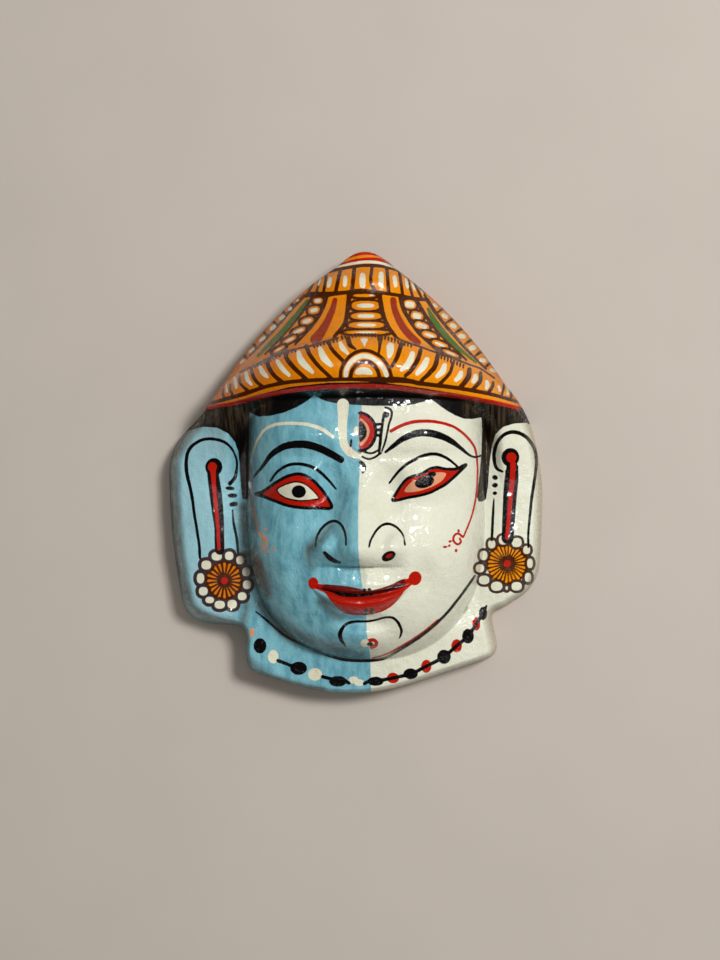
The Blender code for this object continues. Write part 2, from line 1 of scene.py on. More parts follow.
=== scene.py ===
"""The looks of a papier-mache deity mask, moulded as one shell, painted by hand and lacquered.

The mask lies face up on a plain floor: +Z out of the face, +Y towards the tip of its tall hat. Its shell is
a height over the XY plane, worked out from named sizes in metres, measured from the face's middle line.
The brush strokes are laid on in the pixels of the picture that the camera takes, 720 wide and 960 high.
"""

import logging
from collections.abc import Iterator
from dataclasses import dataclass, field, fields
from enum import Enum
from functools import cached_property
from typing import Any, ClassVar

import bpy
import numpy as np
from mathutils import Matrix, Vector


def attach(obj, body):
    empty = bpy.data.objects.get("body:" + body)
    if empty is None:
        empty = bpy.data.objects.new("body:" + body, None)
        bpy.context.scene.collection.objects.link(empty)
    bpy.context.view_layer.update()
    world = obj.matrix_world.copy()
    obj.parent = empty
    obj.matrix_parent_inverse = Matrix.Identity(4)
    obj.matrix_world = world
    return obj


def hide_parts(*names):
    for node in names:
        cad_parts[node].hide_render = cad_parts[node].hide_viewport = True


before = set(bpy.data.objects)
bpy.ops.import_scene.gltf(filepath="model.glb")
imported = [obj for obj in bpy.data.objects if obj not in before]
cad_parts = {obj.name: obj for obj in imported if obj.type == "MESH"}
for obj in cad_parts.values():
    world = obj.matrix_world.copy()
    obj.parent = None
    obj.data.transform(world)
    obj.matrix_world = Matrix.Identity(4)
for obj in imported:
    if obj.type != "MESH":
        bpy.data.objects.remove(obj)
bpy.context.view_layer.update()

log = logging.getLogger("mask")

Array = np.ndarray
Point = tuple[float, float]
Path = tuple[Point, ...]
Widths = tuple[float, ...]

IMAGE_WIDTH = 720
IMAGE_HEIGHT = 960
CAD_NODE = "mask_shell"
BODY = "root"


def smooth_step(low: float, high: float, value: Array) -> Array:
    """0 below low, 1 above high and a smooth S between them, also where low is the greater."""
    share = np.clip((value - low) / (high - low), 0.0, 1.0)
    return share * share * (3.0 - 2.0 * share)


def smooth_max(a: Array, b: Array, blend: Array | float) -> Array:
    """The higher of two surfaces, with their meeting line rounded over the blend length."""
    share = np.clip(0.5 + 0.5 * (a - b) / blend, 0.0, 1.0)
    return b + (a - b) * share + blend * share * (1.0 - share)


def through(y: Array, places: tuple[Point, ...]) -> Array:
    """A smooth curve over Y through the given places.

    Each stretch is an S-shaped step between its two places, bent by the slopes at them (a cubic Hermite).

    Args:
        y: Where the curve is wanted.
        places: The Y and the value of each place, in order of Y.

    Returns:
        The curve's value at each y, level with the end places beyond them.
    """
    at = np.array([place[0] for place in places])
    value = np.array([place[1] for place in places])
    slope = np.gradient(value, at)
    part = np.clip(np.searchsorted(at, y) - 1, 0, len(at) - 2)
    length = at[part + 1] - at[part]
    t = np.clip((y - at[part]) / length, 0.0, 1.0)
    rise = (value[part + 1] - value[part]) * (3.0 - 2.0 * t) * t * t
    start = slope[part] * length * t * (1.0 - t) ** 2
    end = slope[part + 1] * length * t * t * (t - 1.0)
    return value[part] + rise + start + end


def lumps(x: Array, y: Array, cell: float, rise: float, seed: int) -> Array:
    """The uneven surface of pasted paper: smooth random hills, one to a cell.

    Seeded random heights stand on a square lattice and S-shaped steps join them in X and in Y.

    Args:
        x: X of the places.
        y: Y of the places.
        cell: The lattice's spacing in metres.
        rise: The standard height of a hill in metres.
        seed: The seed of the random heights.

    Returns:
        The height of the hills at each place.
    """
    column = (x + 0.5) / cell
    row = (y + 0.5) / cell
    heights = np.random.default_rng(seed).normal(0.0, rise, (int(1.0 / cell) + 3, int(1.0 / cell) + 3))
    i = np.floor(column).astype(int)
    j = np.floor(row).astype(int)
    s = smooth_step(0.0, 1.0, column - i)
    t = smooth_step(0.0, 1.0, row - j)
    low = heights[j, i] * (1 - s) + heights[j, i + 1] * s
    high = heights[j + 1, i] * (1 - s) + heights[j + 1, i + 1] * s
    return low * (1 - t) + high * t


def spaced(loop: Array, count: int) -> Array:
    """A closed loop of points resampled to this many points at equal spacing."""
    closed = np.vstack([loop, loop[:1]])
    run = np.concatenate([[0.0], np.cumsum(np.linalg.norm(np.diff(closed, axis=0), axis=1))])
    at = np.linspace(0.0, run[-1], count, endpoint=False)
    return np.stack([np.interp(at, run, closed[:, k]) for k in range(2)], axis=1)


def depth_in(loop: Array, x: Array, y: Array) -> Array:
    """How far each place is inside a closed loop of straight edges, and minus that outside."""
    nearest = np.full(x.shape, np.inf)
    crossings = np.zeros(x.shape, dtype=int)
    for (ax, ay), (dx, dy) in zip(loop, np.roll(loop, -1, axis=0) - loop):
        t = np.clip(((x - ax) * dx + (y - ay) * dy) / (dx * dx + dy * dy + 1e-30), 0.0, 1.0)
        nearest = np.minimum(nearest, (x - ax - t * dx) ** 2 + (y - ay - t * dy) ** 2)
        spans = (ay > y) != (ay + dy > y)
        crossings += spans & (x < ax + (y - ay) * dx / (dy if dy else 1.0))
    return np.where(crossings % 2 == 1, 1.0, -1.0) * np.sqrt(nearest)


def quads(index: Array) -> Array:
    """The four-sided faces of a grid of point numbers, seen from above counter-clockwise."""
    corners = (index[:-1, :-1], index[:-1, 1:], index[1:, 1:], index[1:, :-1])
    return np.stack([corner.ravel() for corner in corners], axis=1)


@dataclass(frozen=True)
class Corner:
    """A corner of the rim's outline: its place, the reach of its rounding and the bow of the next edge."""

    x: float
    y: float
    reach: float
    bow: float


TIP_REACH_Y = 0.1056
RIGHT_REACH_X = 0.0785
LEFT_REACH_X = -0.0933
NECK_REACH_Y = -0.1051


@dataclass(frozen=True)
class Outline:
    """The rim's outline, clockwise from the tip of the hat."""

    hat_tip: Corner = Corner(-0.0006, TIP_REACH_Y, 0.0190, 0.0034)
    right_brim_end: Corner = Corner(RIGHT_REACH_X - 0.0063, 0.0275, 0.0150, 0.0002)
    right_ear_side: Corner = Corner(RIGHT_REACH_X, -0.0040, 0.0090, 0.0002)
    right_ear_foot: Corner = Corner(RIGHT_REACH_X - 0.0017, -0.0533, 0.0135, 0.0006)
    right_notch: Corner = Corner(0.0548, -0.0640, 0.0040, 0.0000)
    right_neck_foot: Corner = Corner(0.0590, NECK_REACH_Y + 0.0219, 0.0065, 0.0000)
    neck_foot: Corner = Corner(-0.0066, NECK_REACH_Y, 0.0275, 0.0000)
    left_neck_foot: Corner = Corner(-0.0560, NECK_REACH_Y + 0.0143, 0.0065, 0.0000)
    left_notch: Corner = Corner(-0.0557, -0.0708, 0.0035, 0.0000)
    left_ear_foot: Corner = Corner(LEFT_REACH_X + 0.0083, -0.0690, 0.0130, 0.0012)
    left_ear_top: Corner = Corner(LEFT_REACH_X, 0.0090, 0.0140, 0.0000)
    left_brim_end: Corner = Corner(LEFT_REACH_X + 0.0198, 0.0290, 0.0090, 0.0050)
    evening: float = 0.0022
    rough_count: int = 2400
    corner_count: int = 12
    edge_count: int = 60
    solid_step: float = 0.0034

    @property
    def corners(self) -> tuple[Corner, ...]:
        """All corners in order."""
        return (
            self.hat_tip, self.right_brim_end, self.right_ear_side, self.right_ear_foot, self.right_notch,
            self.right_neck_foot, self.neck_foot, self.left_neck_foot, self.left_notch, self.left_ear_foot,
            self.left_ear_top, self.left_brim_end,
        )

    @cached_property
    def evened(self) -> Array:
        """The outline as even points.

        Each corner is a parabola between its two reaches and each edge a parabola that bows outwards.
        A short bell-shaped average along the loop then softens where they meet.
        """
        places = np.array([(corner.x, corner.y) for corner in self.corners])
        before = np.roll(places, 1, axis=0) - places
        after = np.roll(places, -1, axis=0) - places
        before /= np.linalg.norm(before, axis=1, keepdims=True)
        after /= np.linalg.norm(after, axis=1, keepdims=True)
        pieces = []
        for i, corner in enumerate(self.corners):
            following = (i + 1) % len(places)
            t = np.linspace(0.0, 1.0, self.corner_count)[:, None]
            start = places[i] + before[i] * corner.reach
            end = places[i] + after[i] * corner.reach
            pieces.append(start * (1 - t) ** 2 + places[i] * 2 * t * (1 - t) + end * t * t)
            next_start = places[following] + before[following] * self.corners[following].reach
            outwards = np.array([-after[i][1], after[i][0]])
            t = np.linspace(0.0, 1.0, self.edge_count)[1:-1, None]
            pieces.append(end * (1 - t) + next_start * t + outwards * 4.0 * corner.bow * t * (1 - t))
        dense = spaced(np.vstack(pieces), self.rough_count)
        half = int(round(self.evening / np.linalg.norm(dense[1] - dense[0])))
        kernel = np.hanning(2 * half + 3)[1:-1]
        kernel /= kernel.sum()
        padded = np.vstack([dense[-half:], dense, dense[:half]])
        return np.stack([np.convolve(padded[:, k], kernel, "valid") for k in range(2)], axis=1)

    def points(self, step: float) -> Array:
        """The outline as points at about this spacing."""
        loop = self.evened
        length = np.linalg.norm(np.roll(loop, -1, axis=0) - loop, axis=1).sum()
        return spaced(loop, int(round(length / step)))

    @cached_property
    def middle(self) -> Array:
        """The middle of the outline's box, where the part's own origin is."""
        loop = self.points(self.solid_step)
        return 0.5 * (loop.min(axis=0) + loop.max(axis=0))

    def depth_inside(self, x: Array, y: Array, step: float) -> Array:
        """How far each place is inside the outline, taken as straight edges of this step."""
        return depth_in(self.points(step), x, y)


@dataclass(frozen=True)
class Mound:
    """A smooth low mound on both sides of the middle line, with a rise of (1 - r squared) squared."""

    beside: float
    along: float
    half_width: float
    half_length: float
    rise: float

    def height(self, x: Array, y: Array) -> Array:
        """The mound's own height at each place."""
        across = (np.abs(x) - self.beside) / self.half_width
        r_squared = across**2 + ((y - self.along) / self.half_length) ** 2
        return self.rise * np.clip(1.0 - r_squared, 0.0, 1.0) ** 2


@dataclass(frozen=True)
class Flange:
    """The ears and the neck, the flat parts round the head, and the low border that joins them."""

    level: float = 0.0215
    tip_level: float = 0.0070
    hat_foot_y: float = 0.0280
    hat_tip_y: float = TIP_REACH_Y - 0.0030
    ear_top_start_y: float = 0.0110
    ear_top_end_y: float = 0.0215
    ear_top_dip: float = 0.0040
    ear_y: float = -0.0220
    left_ear_x: float = LEFT_REACH_X + 0.0243
    right_ear_x: float = RIGHT_REACH_X - 0.0130
    ear_swell: Mound = Mound(0.0, -0.0220, 0.0221, 0.0520, 0.0040)
    neck_level: float = 0.0275
    neck_side_fall: float = 0.0060
    neck_foot_slope: float = 0.15
    neck_top_y: float = -0.0700
    neck_fade_run: float = 0.0300
    neck_fade_fall: float = 0.0200
    neck_half_width: float = 0.0530
    neck_blend: float = 0.0040

    def height(self, x: Array, y: Array) -> Array:
        """The height of the ears and the neck at each place: a border that falls along the hat, with a
        low swell on each ear, blended into a neck that falls to its sides and its foot."""
        border = through(
            y, ((self.ear_y, self.level), (self.hat_foot_y, self.level), (self.hat_tip_y, self.tip_level))
        )
        border = border - self.ear_top_dip * smooth_step(self.ear_top_start_y, self.ear_top_end_y, y)
        for ear_x in (self.left_ear_x, self.right_ear_x):
            border = border + self.ear_swell.height(x - ear_x, y)
        side = (x / self.neck_half_width) ** 2
        below = np.clip(self.neck_top_y - y, 0.0, None)
        neck = self.neck_level - self.neck_side_fall * side - self.neck_foot_slope * below
        fade = smooth_step(self.neck_top_y, self.neck_top_y + self.neck_fade_run, y)
        return smooth_max(border, neck - self.neck_fade_fall * fade, self.neck_blend)


@dataclass(frozen=True)
class Nose:
    """A ridge that widens and rises to its tip, round below, between two nostril wings."""

    root_y: float = 0.0060
    tip_y: float = -0.0325
    root_rise: float = 0.0012
    tip_rise: float = 0.0175
    root_half_width: float = 0.0065
    tip_half_width: float = 0.0125
    under_run: float = 0.0085
    brow_run: float = 0.0120
    rise_power: float = 1.25
    root_spread: float = 0.4
    wing: Mound = Mound(0.0130, -0.0325, 0.0108, 0.0100, 0.0095)
    wing_blend: float = 0.0040

    def height(self, x: Array, y: Array) -> Array:
        """The nose's rise: a bell across, with a power law to the tip and a quarter circle under it."""
        down = np.clip((self.root_y - y) / (self.root_y - self.tip_y), 0.0, 1.0)
        half_width = self.root_half_width + (self.tip_half_width - self.root_half_width) * down
        rise = self.root_rise * smooth_step(-self.root_spread, self.root_spread, down)
        rise = rise + (self.tip_rise - self.root_rise) * down**self.rise_power
        above = smooth_step(self.root_y + self.brow_run, self.root_y, y)
        under = np.clip((self.tip_y - y) / self.under_run, 0.0, 1.0)
        round_under = np.sqrt(np.clip(1.0 - under * under, 0.0, 1.0))
        ridge = rise * above * round_under * np.exp(-((x / half_width) ** 2))
        return smooth_max(ridge, self.wing.height(x, y), self.wing_blend) - 0.25 * self.wing_blend


@dataclass(frozen=True)
class Mouth:
    """Two lips that taper to the lifted corners, with a groove between them."""

    half_width: float = 0.0215
    line_y: float = -0.0532
    corner_lift: float = 0.0040
    upper_depth: float = 0.0042
    upper_rise: float = 0.0030
    upper_corner_share: float = 0.25
    lower_depth: float = 0.0088
    lower_rise: float = 0.0046
    lower_corner_share: float = 0.10
    groove: float = 0.0017
    groove_half_width: float = 0.0016
    upper_lean: float = 0.7
    lower_lean: float = 0.8
    taper: float = 0.6

    def height(self, x: Array, y: Array) -> Array:
        """The lips' rise: a half sine wave from the line to each lip's edge, less a bell-shaped groove."""
        across = np.clip(1.0 - (x / self.half_width) ** 2, 0.0, 1.0)
        from_line = y - self.line_y - self.corner_lift * (1.0 - across)
        upper_depth = self.upper_depth * (self.upper_corner_share + (1 - self.upper_corner_share) * across)
        lower_depth = self.lower_depth * (self.lower_corner_share + (1 - self.lower_corner_share) * across)
        upper = np.clip(from_line / upper_depth, 0.0, 1.0)
        lower = np.clip(-from_line / lower_depth, 0.0, 1.0)
        upper_lip = self.upper_rise * np.sin(np.pi * upper**self.upper_lean) * (from_line > 0)
        lower_lip = self.lower_rise * np.sin(np.pi * lower**self.lower_lean) * (from_line <= 0)
        groove = self.groove * np.exp(-((from_line / self.groove_half_width) ** 2)) * across**0.5
        return (upper_lip + lower_lip) * across**self.taper - groove


@dataclass(frozen=True)
class Head:
    """The head: a full dome with a rounded jaw, and the features on it."""

    half_width: float = 0.0530
    jaw_start_y: float = -0.0200
    jaw_length: float = 0.0640
    squareness: float = 2.4
    fullness: float = 3.4
    crown_start_y: float = 0.0300
    crown_length: float = 0.0420
    foot_level: float = 0.0175
    levels: tuple[Point, ...] = (
        (-0.0760, 0.0560),
        (-0.0520, 0.0560),
        (-0.0050, 0.0545),
        (0.0180, 0.0560),
        (0.0335, 0.0535),
    )
    cheek: Mound = Mound(0.0290, -0.0330, 0.0240, 0.0230, 0.0042)
    eyeball: Mound = Mound(0.0270, -0.0052, 0.0185, 0.0115, 0.0036)
    brow_ridge: Mound = Mound(0.0260, 0.0150, 0.0250, 0.0100, 0.0020)
    lid_furrow: Mound = Mound(0.0260, 0.0060, 0.0220, 0.0042, -0.0007)
    eye_corner: Mound = Mound(0.0130, -0.0080, 0.0100, 0.0120, -0.0030)
    cheek_furrow: Mound = Mound(0.0270, -0.0440, 0.0070, 0.0120, -0.0016)
    muzzle: Mound = Mound(0.0, -0.0530, 0.0320, 0.0180, 0.0030)
    lip_hollow: Mound = Mound(0.0, -0.0650, 0.0160, 0.0055, -0.0030)
    chin: Mound = Mound(0.0, -0.0735, 0.0160, 0.0105, 0.0040)
    lip_gutter: Mound = Mound(0.0, -0.0455, 0.0035, 0.0055, -0.0010)
    nose: Nose = Nose()
    mouth: Mouth = Mouth()
    relief_end: float = 0.85

    def spread(self, x: Array, y: Array) -> Array:
        """How far out each place is on the head, 0 at its middle and 1 at its edge.

        It is the root of powered shares across and down, so the jaw is a squared-off oval.
        """
        across = np.abs(x) / self.half_width
        down = np.clip((self.jaw_start_y - y) / self.jaw_length, 0.0, None)
        up = np.clip((y - self.crown_start_y) / self.crown_length, 0.0, None)
        return (across**self.squareness + (down + up) ** self.squareness) ** (1.0 / self.squareness)

    def height(self, x: Array, y: Array) -> Array:
        """The head's height: a dome of root(1 - spread to the fullness) over its foot, with its relief."""
        out = self.spread(x, y)
        dome = np.sqrt(np.clip(1.0 - out**self.fullness, 0.0, 1.0))
        soft_forms = (
            self.cheek, self.eyeball, self.brow_ridge, self.lid_furrow, self.eye_corner, self.cheek_furrow,
            self.muzzle, self.lip_hollow, self.chin, self.lip_gutter,
        )
        relief = sum(form.height(x, y) for form in soft_forms)
        relief = relief + self.nose.height(x, y) + self.mouth.height(x, y)
        level = self.foot_level + (through(y, self.levels) - self.foot_level) * dome
        return level + relief * smooth_step(1.0, self.relief_end, out)


@dataclass(frozen=True)
class Hat:
    """The hat: a bulging band over its brim, a hollow-sided cone, a raised ring and a round cap."""

    tip_y: float = TIP_REACH_Y - 0.0030
    foot_y: float = 0.0280
    left_half_width: float = 0.0765
    right_half_width: float = 0.0725
    left_taper: float = 0.70
    right_taper: float = 0.78
    roundness: float = 2.4
    brim_level_y: float = 0.0335
    brim_drop: float = 0.0076
    brim_drop_x: float = 0.0720
    brim_drop_power: float = 2.3
    undercut_slope: float = 3.5
    side_slope: float = 0.9
    side_start_x: float = 0.0420
    side_end_x: float = 0.0620
    brim_height: float = 0.0600
    band_top_level_y: float = 0.0575
    band_drop: float = 0.0150
    band_drop_x: float = 0.0570
    band_least: float = 0.0060
    band_rise: float = 0.0108
    band_fullness: float = 0.60
    band_lean: float = 0.85
    band_taper: float = 0.70
    levels_above: tuple[Point, ...] = (
        (0.0575, 0.0560),
        (0.0665, 0.0475),
        (0.0778, 0.0385),
        (0.0835, 0.0372),
        (0.0900, 0.0290),
        (TIP_REACH_Y - 0.0030, 0.0230),
    )

    def brim_y(self, x: Array) -> Array:
        """Where the brim's lower edge runs: level over the brow and lower towards both ends."""
        return self.brim_level_y - self.brim_drop * (np.abs(x) / self.brim_drop_x) ** self.brim_drop_power

    def band_top_y(self, x: Array) -> Array:
        """Where the crease over the band runs. It drops faster than the brim, so the band narrows."""
        crease = self.band_top_level_y - self.band_drop * (x / self.band_drop_x) ** 2
        return np.maximum(crease, self.brim_y(x) + self.band_least)

    def height(self, x: Array, y: Array) -> Array:
        """The hat's height: its profile over Y, times root(1 - share across to the roundness).

        Below the brim it falls away, steeply under the brow and gently at the sides.
        """
        below_tip = np.clip(self.tip_y - y, 0.0, None) / (self.tip_y - self.foot_y)
        left = self.left_half_width * below_tip**self.left_taper
        right = self.right_half_width * below_tip**self.right_taper
        out = np.clip(np.abs(x) / (np.where(x < 0.0, left, right) + 1e-6), 0.0, 1.0)
        brim = self.brim_y(x)
        band_top = self.band_top_y(x)
        band_width = self.band_top_level_y - self.brim_level_y
        in_band = (y - brim) / (band_top - brim)
        above = self.band_top_level_y + y - band_top
        level = np.where(in_band < 1.0, self.brim_level_y + band_width * in_band, above)
        profile = through(level, ((self.brim_level_y, self.brim_height),) + self.levels_above)
        bulge = np.sin(np.pi * np.clip(in_band, 0.0, 1.0) ** self.band_lean) ** self.band_fullness
        narrowing = ((band_top - brim) / band_width) ** self.band_taper
        profile = profile + self.band_rise * bulge * narrowing
        over = profile * np.sqrt(np.clip(1.0 - out**self.roundness, 0.0, 1.0))
        aside = smooth_step(self.side_start_x, self.side_end_x, np.abs(x))
        slope = self.undercut_slope + (self.side_slope - self.undercut_slope) * aside
        return over - slope * np.clip(brim - y, 0.0, None)


@dataclass(frozen=True)
class MaskForm:
    """The whole shell: the head, the ears and neck, the hat, and the wall's depth behind them."""

    outline: Outline = Outline()
    flange: Flange = Flange()
    head: Head = Head()
    hat: Hat = Hat()
    wall: float = 0.0030
    rim_width: float = 0.0032
    skirt_run: float = 0.0045
    skirt_power: float = 2.3
    hat_skirt_run: float = 0.0022
    hat_skirt_low_y: float = 0.0220
    hat_skirt_high_y: float = 0.0360
    left_ear_skirt_run: float = 0.0100
    left_ear_skirt_start_x: float = -0.0600
    left_ear_skirt_end_x: float = -0.0800
    left_ear_skirt_low_y: float = 0.0100
    left_ear_skirt_high_y: float = 0.0300
    inner_wall_slope: float = 7.0
    head_blend: float = 0.0045
    brim_blend: float = 0.0014
    brim_side_blend: float = 0.0100
    brim_side_lead: float = 0.0080
    fine_step: float = 0.0012
    coarse_step: float = 0.0030
    wall_samples: int = 12
    lumps: tuple[tuple[float, float, int], ...] = (
        (0.0130, 0.00022, 11),
        (0.0070, 0.00012, 12),
        (0.0028, 0.00004, 13),
    )

    def top(self, x: Array, y: Array) -> Array:
        """The height before the outline cuts it off: head, flange and hat run together."""
        head = smooth_max(self.head.height(x, y), self.flange.height(x, y), self.head_blend)
        aside = smooth_step(self.hat.side_start_x - self.brim_side_lead, self.hat.side_end_x, np.abs(x))
        blend = self.brim_blend + (self.brim_side_blend - self.brim_blend) * aside
        return smooth_max(head, self.hat.height(x, y), blend)

    def front(self, x: Array, y: Array, step: float) -> Array:
        """The front's height. Along the outline it falls to the rim's plane as 1 - a power of the share."""
        by_ear = smooth_step(self.left_ear_skirt_start_x, self.left_ear_skirt_end_x, x)
        by_ear = by_ear * smooth_step(self.left_ear_skirt_high_y, self.left_ear_skirt_low_y, y)
        by_hat = smooth_step(self.hat_skirt_low_y, self.hat_skirt_high_y, y)
        run = self.skirt_run + (self.left_ear_skirt_run - self.skirt_run) * by_ear
        run = run + (self.hat_skirt_run - self.skirt_run) * by_hat
        out = np.clip(1.0 - self.outline.depth_inside(x, y, step) / run, 0.0, 1.0)
        return self.top(x, y) * (1.0 - out**self.skirt_power)

    def handmade(self, x: Array, y: Array) -> Array:
        """The small hills and dents that the paper and the clay coat leave."""
        return sum(lumps(x, y, cell, rise, seed) for cell, rise, seed in self.lumps)

    def back(self, x: Array, y: Array) -> Array:
        """The hollow's height: the front less a ball of the wall's depth, and less the inner wall's slope."""
        angle = np.linspace(0.0, 2.0 * np.pi, self.wall_samples, endpoint=False)
        lowest = self.front(x, y, self.coarse_step) - self.wall
        for share in (0.45, 0.8, 1.0):
            depth = self.wall * np.sqrt(1.0 - share * share)
            for dx, dy in zip(self.wall * share * np.cos(angle), self.wall * share * np.sin(angle)):
                lowest = np.minimum(lowest, self.front(x + dx, y + dy, self.coarse_step) - depth)
        depth_inside = self.outline.depth_inside(x, y, self.coarse_step)
        steep = self.inner_wall_slope * (depth_inside - self.rim_width)
        return np.clip(np.minimum(lowest, steep), 0.0, None)


@dataclass(frozen=True)
class PictureView:
    """The camera: it looks down on the lying mask, a little from its right."""

    target: tuple[float, float, float] = (0.00259, -0.00286, 0.0)
    distance: float = 0.9
    turn_degrees: float = 4.4
    sensor: float = 36.0
    lens: float = 98.9

    @property
    def millimetres_per_pixel(self) -> float:
        """How wide one pixel of the picture is on the plane of the rim."""
        return 1000.0 * self.distance * self.sensor / self.lens / IMAGE_WIDTH

    def axes(self) -> tuple[Vector, Vector, Vector, Vector]:
        """The camera's place and its directions to the right, up and away."""
        turn = np.radians(self.turn_degrees)
        place = Vector(self.target) + self.distance * Vector((np.sin(turn), 0.0, np.cos(turn)))
        away = (Vector(self.target) - place).normalized()
        up = Vector((0.0, 1.0, 0.0))
        return place, away.cross(up), up, away

    def pixels(self, points: Array) -> tuple[Array, Array]:
        """Where places on the mask show in the picture, by the rule of a pinhole camera.

        Args:
            points: Rows of X, Y and Z in the part's frame.

        Returns:
            The pixel column and the pixel row of each place.
        """
        place, right, up, away = (np.array(axis) for axis in self.axes())
        seen = points - place
        focal = IMAGE_WIDTH * self.lens / self.sensor
        depth = seen @ away
        column = IMAGE_WIDTH / 2 + focal * (seen @ right) / depth
        row = IMAGE_HEIGHT / 2 - focal * (seen @ up) / depth
        return column, row

    def build(self) -> None:
        """Makes the camera and hands it to the scene."""
        place, right, up, away = self.axes()
        data = bpy.data.cameras.new("picture_camera")
        data.sensor_fit = "HORIZONTAL"
        data.sensor_width = self.sensor
        data.lens = self.lens
        data.clip_start = 0.01
        camera = bpy.data.objects.new("picture_camera", data)
        camera.matrix_world = Matrix.Translation(place) @ Matrix((right, up, -away)).transposed().to_4x4()
        bpy.context.scene.collection.objects.link(camera)
        bpy.context.scene.camera = camera


class Pigment(Enum):
    """The layers of paint, from the first laid on to the last. Each value is its attribute's name."""

    BLUE = "blue_half"
    ORANGE = "orange_ground"
    HAIR = "hair_black"
    STREAK = "hair_brown"
    RED = "red_paint"
    MAROON = "maroon_line"
    CREAM = "cream_dab"
    PINK = "pink_wash"
    GREEN = "green_line"
    BLACK = "black_line"
    RED_OVER = "red_over_black"
    SHADE = "lip_shade"
    BRICK = "brick_red"
    # painted shade, laid over every other paint
    DUSK = "dusk_wash"


BLUE, ORANGE, HAIR, STREAK, RED, MAROON, CREAM = tuple(Pigment)[:7]
PINK, GREEN, BLACK, RED_OVER, SHADE, BRICK, DUSK = tuple(Pigment)[7:]
PAINT_REACH = 8.0


def smooth_path(path: Array, closed: bool, per_span: int) -> Array:
    """A soft curve through all points of a path, by Catmull and Rom's cubic.

    Args:
        path: Rows of numbers, one row to a point.
        closed: Whether the last point joins the first.
        per_span: How many points the curve gets between two of the path's.

    Returns:
        Rows of the curve's points, the path's own among them.
    """
    if closed:
        padded = np.vstack([path[-1:], path, path[:2]])
    else:
        padded = np.vstack([2 * path[:1] - path[1:2], path, 2 * path[-1:] - path[-2:-1]])
    a, b, c, d = padded[:-3, None], padded[1:-2, None], padded[2:-1, None], padded[3:, None]
    t = np.linspace(0.0, 1.0, per_span, endpoint=False)[None, :, None]
    bent = (2 * a - 5 * b + 4 * c - d) * t**2 + (3 * b - a - 3 * c + d) * t**3
    curve = (0.5 * (2 * b + (c - a) * t + bent)).reshape(-1, path.shape[1])
    return curve if closed else np.vstack([curve, path[-1:]])


@dataclass(frozen=True)
class Stroke:
    """One stroke of the brush along a soft curve, in pixels. Its widths are spread evenly along it."""

    pigment: Pigment
    path: Path
    widths: Widths = (3.0,)
    closed: bool = False
    per_span: int = 5
    wipe: bool = False

    @cached_property
    def line(self) -> Array:
        """The stroke's middle line, with its half width at each point."""
        places = np.array(self.path, dtype=float)
        along = np.linspace(0.0, 1.0, len(places))
        half = 0.5 * np.interp(along, np.linspace(0.0, 1.0, len(self.widths)), self.widths)
        return smooth_path(np.column_stack([places, half]), self.closed, self.per_span)

    @property
    def box(self) -> tuple[Array, Array]:
        """The lowest and highest pixel that the stroke covers."""
        reach = self.line[:, 2].max()
        return self.line[:, :2].min(axis=0) - reach, self.line[:, :2].max(axis=0) + reach

    def cover(self, px: Array, py: Array) -> Array:
        """How many pixels each place is inside the stroke's edge: half width less the way to its line."""
        line = np.vstack([self.line, self.line[:1]]) if self.closed else self.line
        deepest = np.full(px.shape, -np.inf)
        for (ax, ay, start), (bx, by, end) in zip(line[:-1], line[1:]):
            dx, dy = bx - ax, by - ay
            t = np.clip(((px - ax) * dx + (py - ay) * dy) / (dx * dx + dy * dy + 1e-9), 0.0, 1.0)
            away = np.hypot(px - ax - t * dx, py - ay - t * dy)
            deepest = np.maximum(deepest, start + (end - start) * t - away)
        return deepest


@dataclass(frozen=True)
class Patch:
    """A filled shape within a closed curve through its points, in pixels."""

    pigment: Pigment
    path: Path
    soft: bool = True
    wipe: bool = False

    @cached_property
    def loop(self) -> Array:
        """The shape's edge as a closed line."""
        places = np.array(self.path, dtype=float)
        return smooth_path(places, True, 6) if self.soft else places

    @property
    def box(self) -> tuple[Array, Array]:
        """The lowest and highest pixel that the shape covers."""
        return self.loop.min(axis=0), self.loop.max(axis=0)

    def cover(self, px: Array, py: Array) -> Array:
        """How many pixels each place is inside the shape's edge."""
        return depth_in(self.loop, px, py)


@dataclass(frozen=True)
class Spot:
    """A round, oval or squarish touch of the brush, in pixels, turned by degrees from level.

    Its edge is where |along|^n + |across|^n = 1, as shares of its half length and half width. A wiping spot
    takes its pigment off again.
    """

    pigment: Pigment
    place: Point
    size: Point
    turn: float = 0.0
    squareness: float = 2.0
    wipe: bool = False

    @property
    def box(self) -> tuple[Array, Array]:
        """The lowest and highest pixel that the spot may cover."""
        reach = 0.5 * max(self.size)
        return np.array(self.place) - reach, np.array(self.place) + reach

    def cover(self, px: Array, py: Array) -> Array:
        """How many pixels each place is inside the spot's edge, by its share of the oval's radius."""
        angle = np.radians(self.turn)
        dx, dy = px - self.place[0], py - self.place[1]
        along = (dx * np.cos(angle) + dy * np.sin(angle)) / (0.5 * self.size[0])
        across = (dy * np.cos(angle) - dx * np.sin(angle)) / (0.5 * self.size[1])
        power = self.squareness
        share = (np.abs(along) ** power + np.abs(across) ** power) ** (1.0 / power)
        return (1.0 - share) * 0.5 * min(self.size)


Mark = Stroke | Patch | Spot


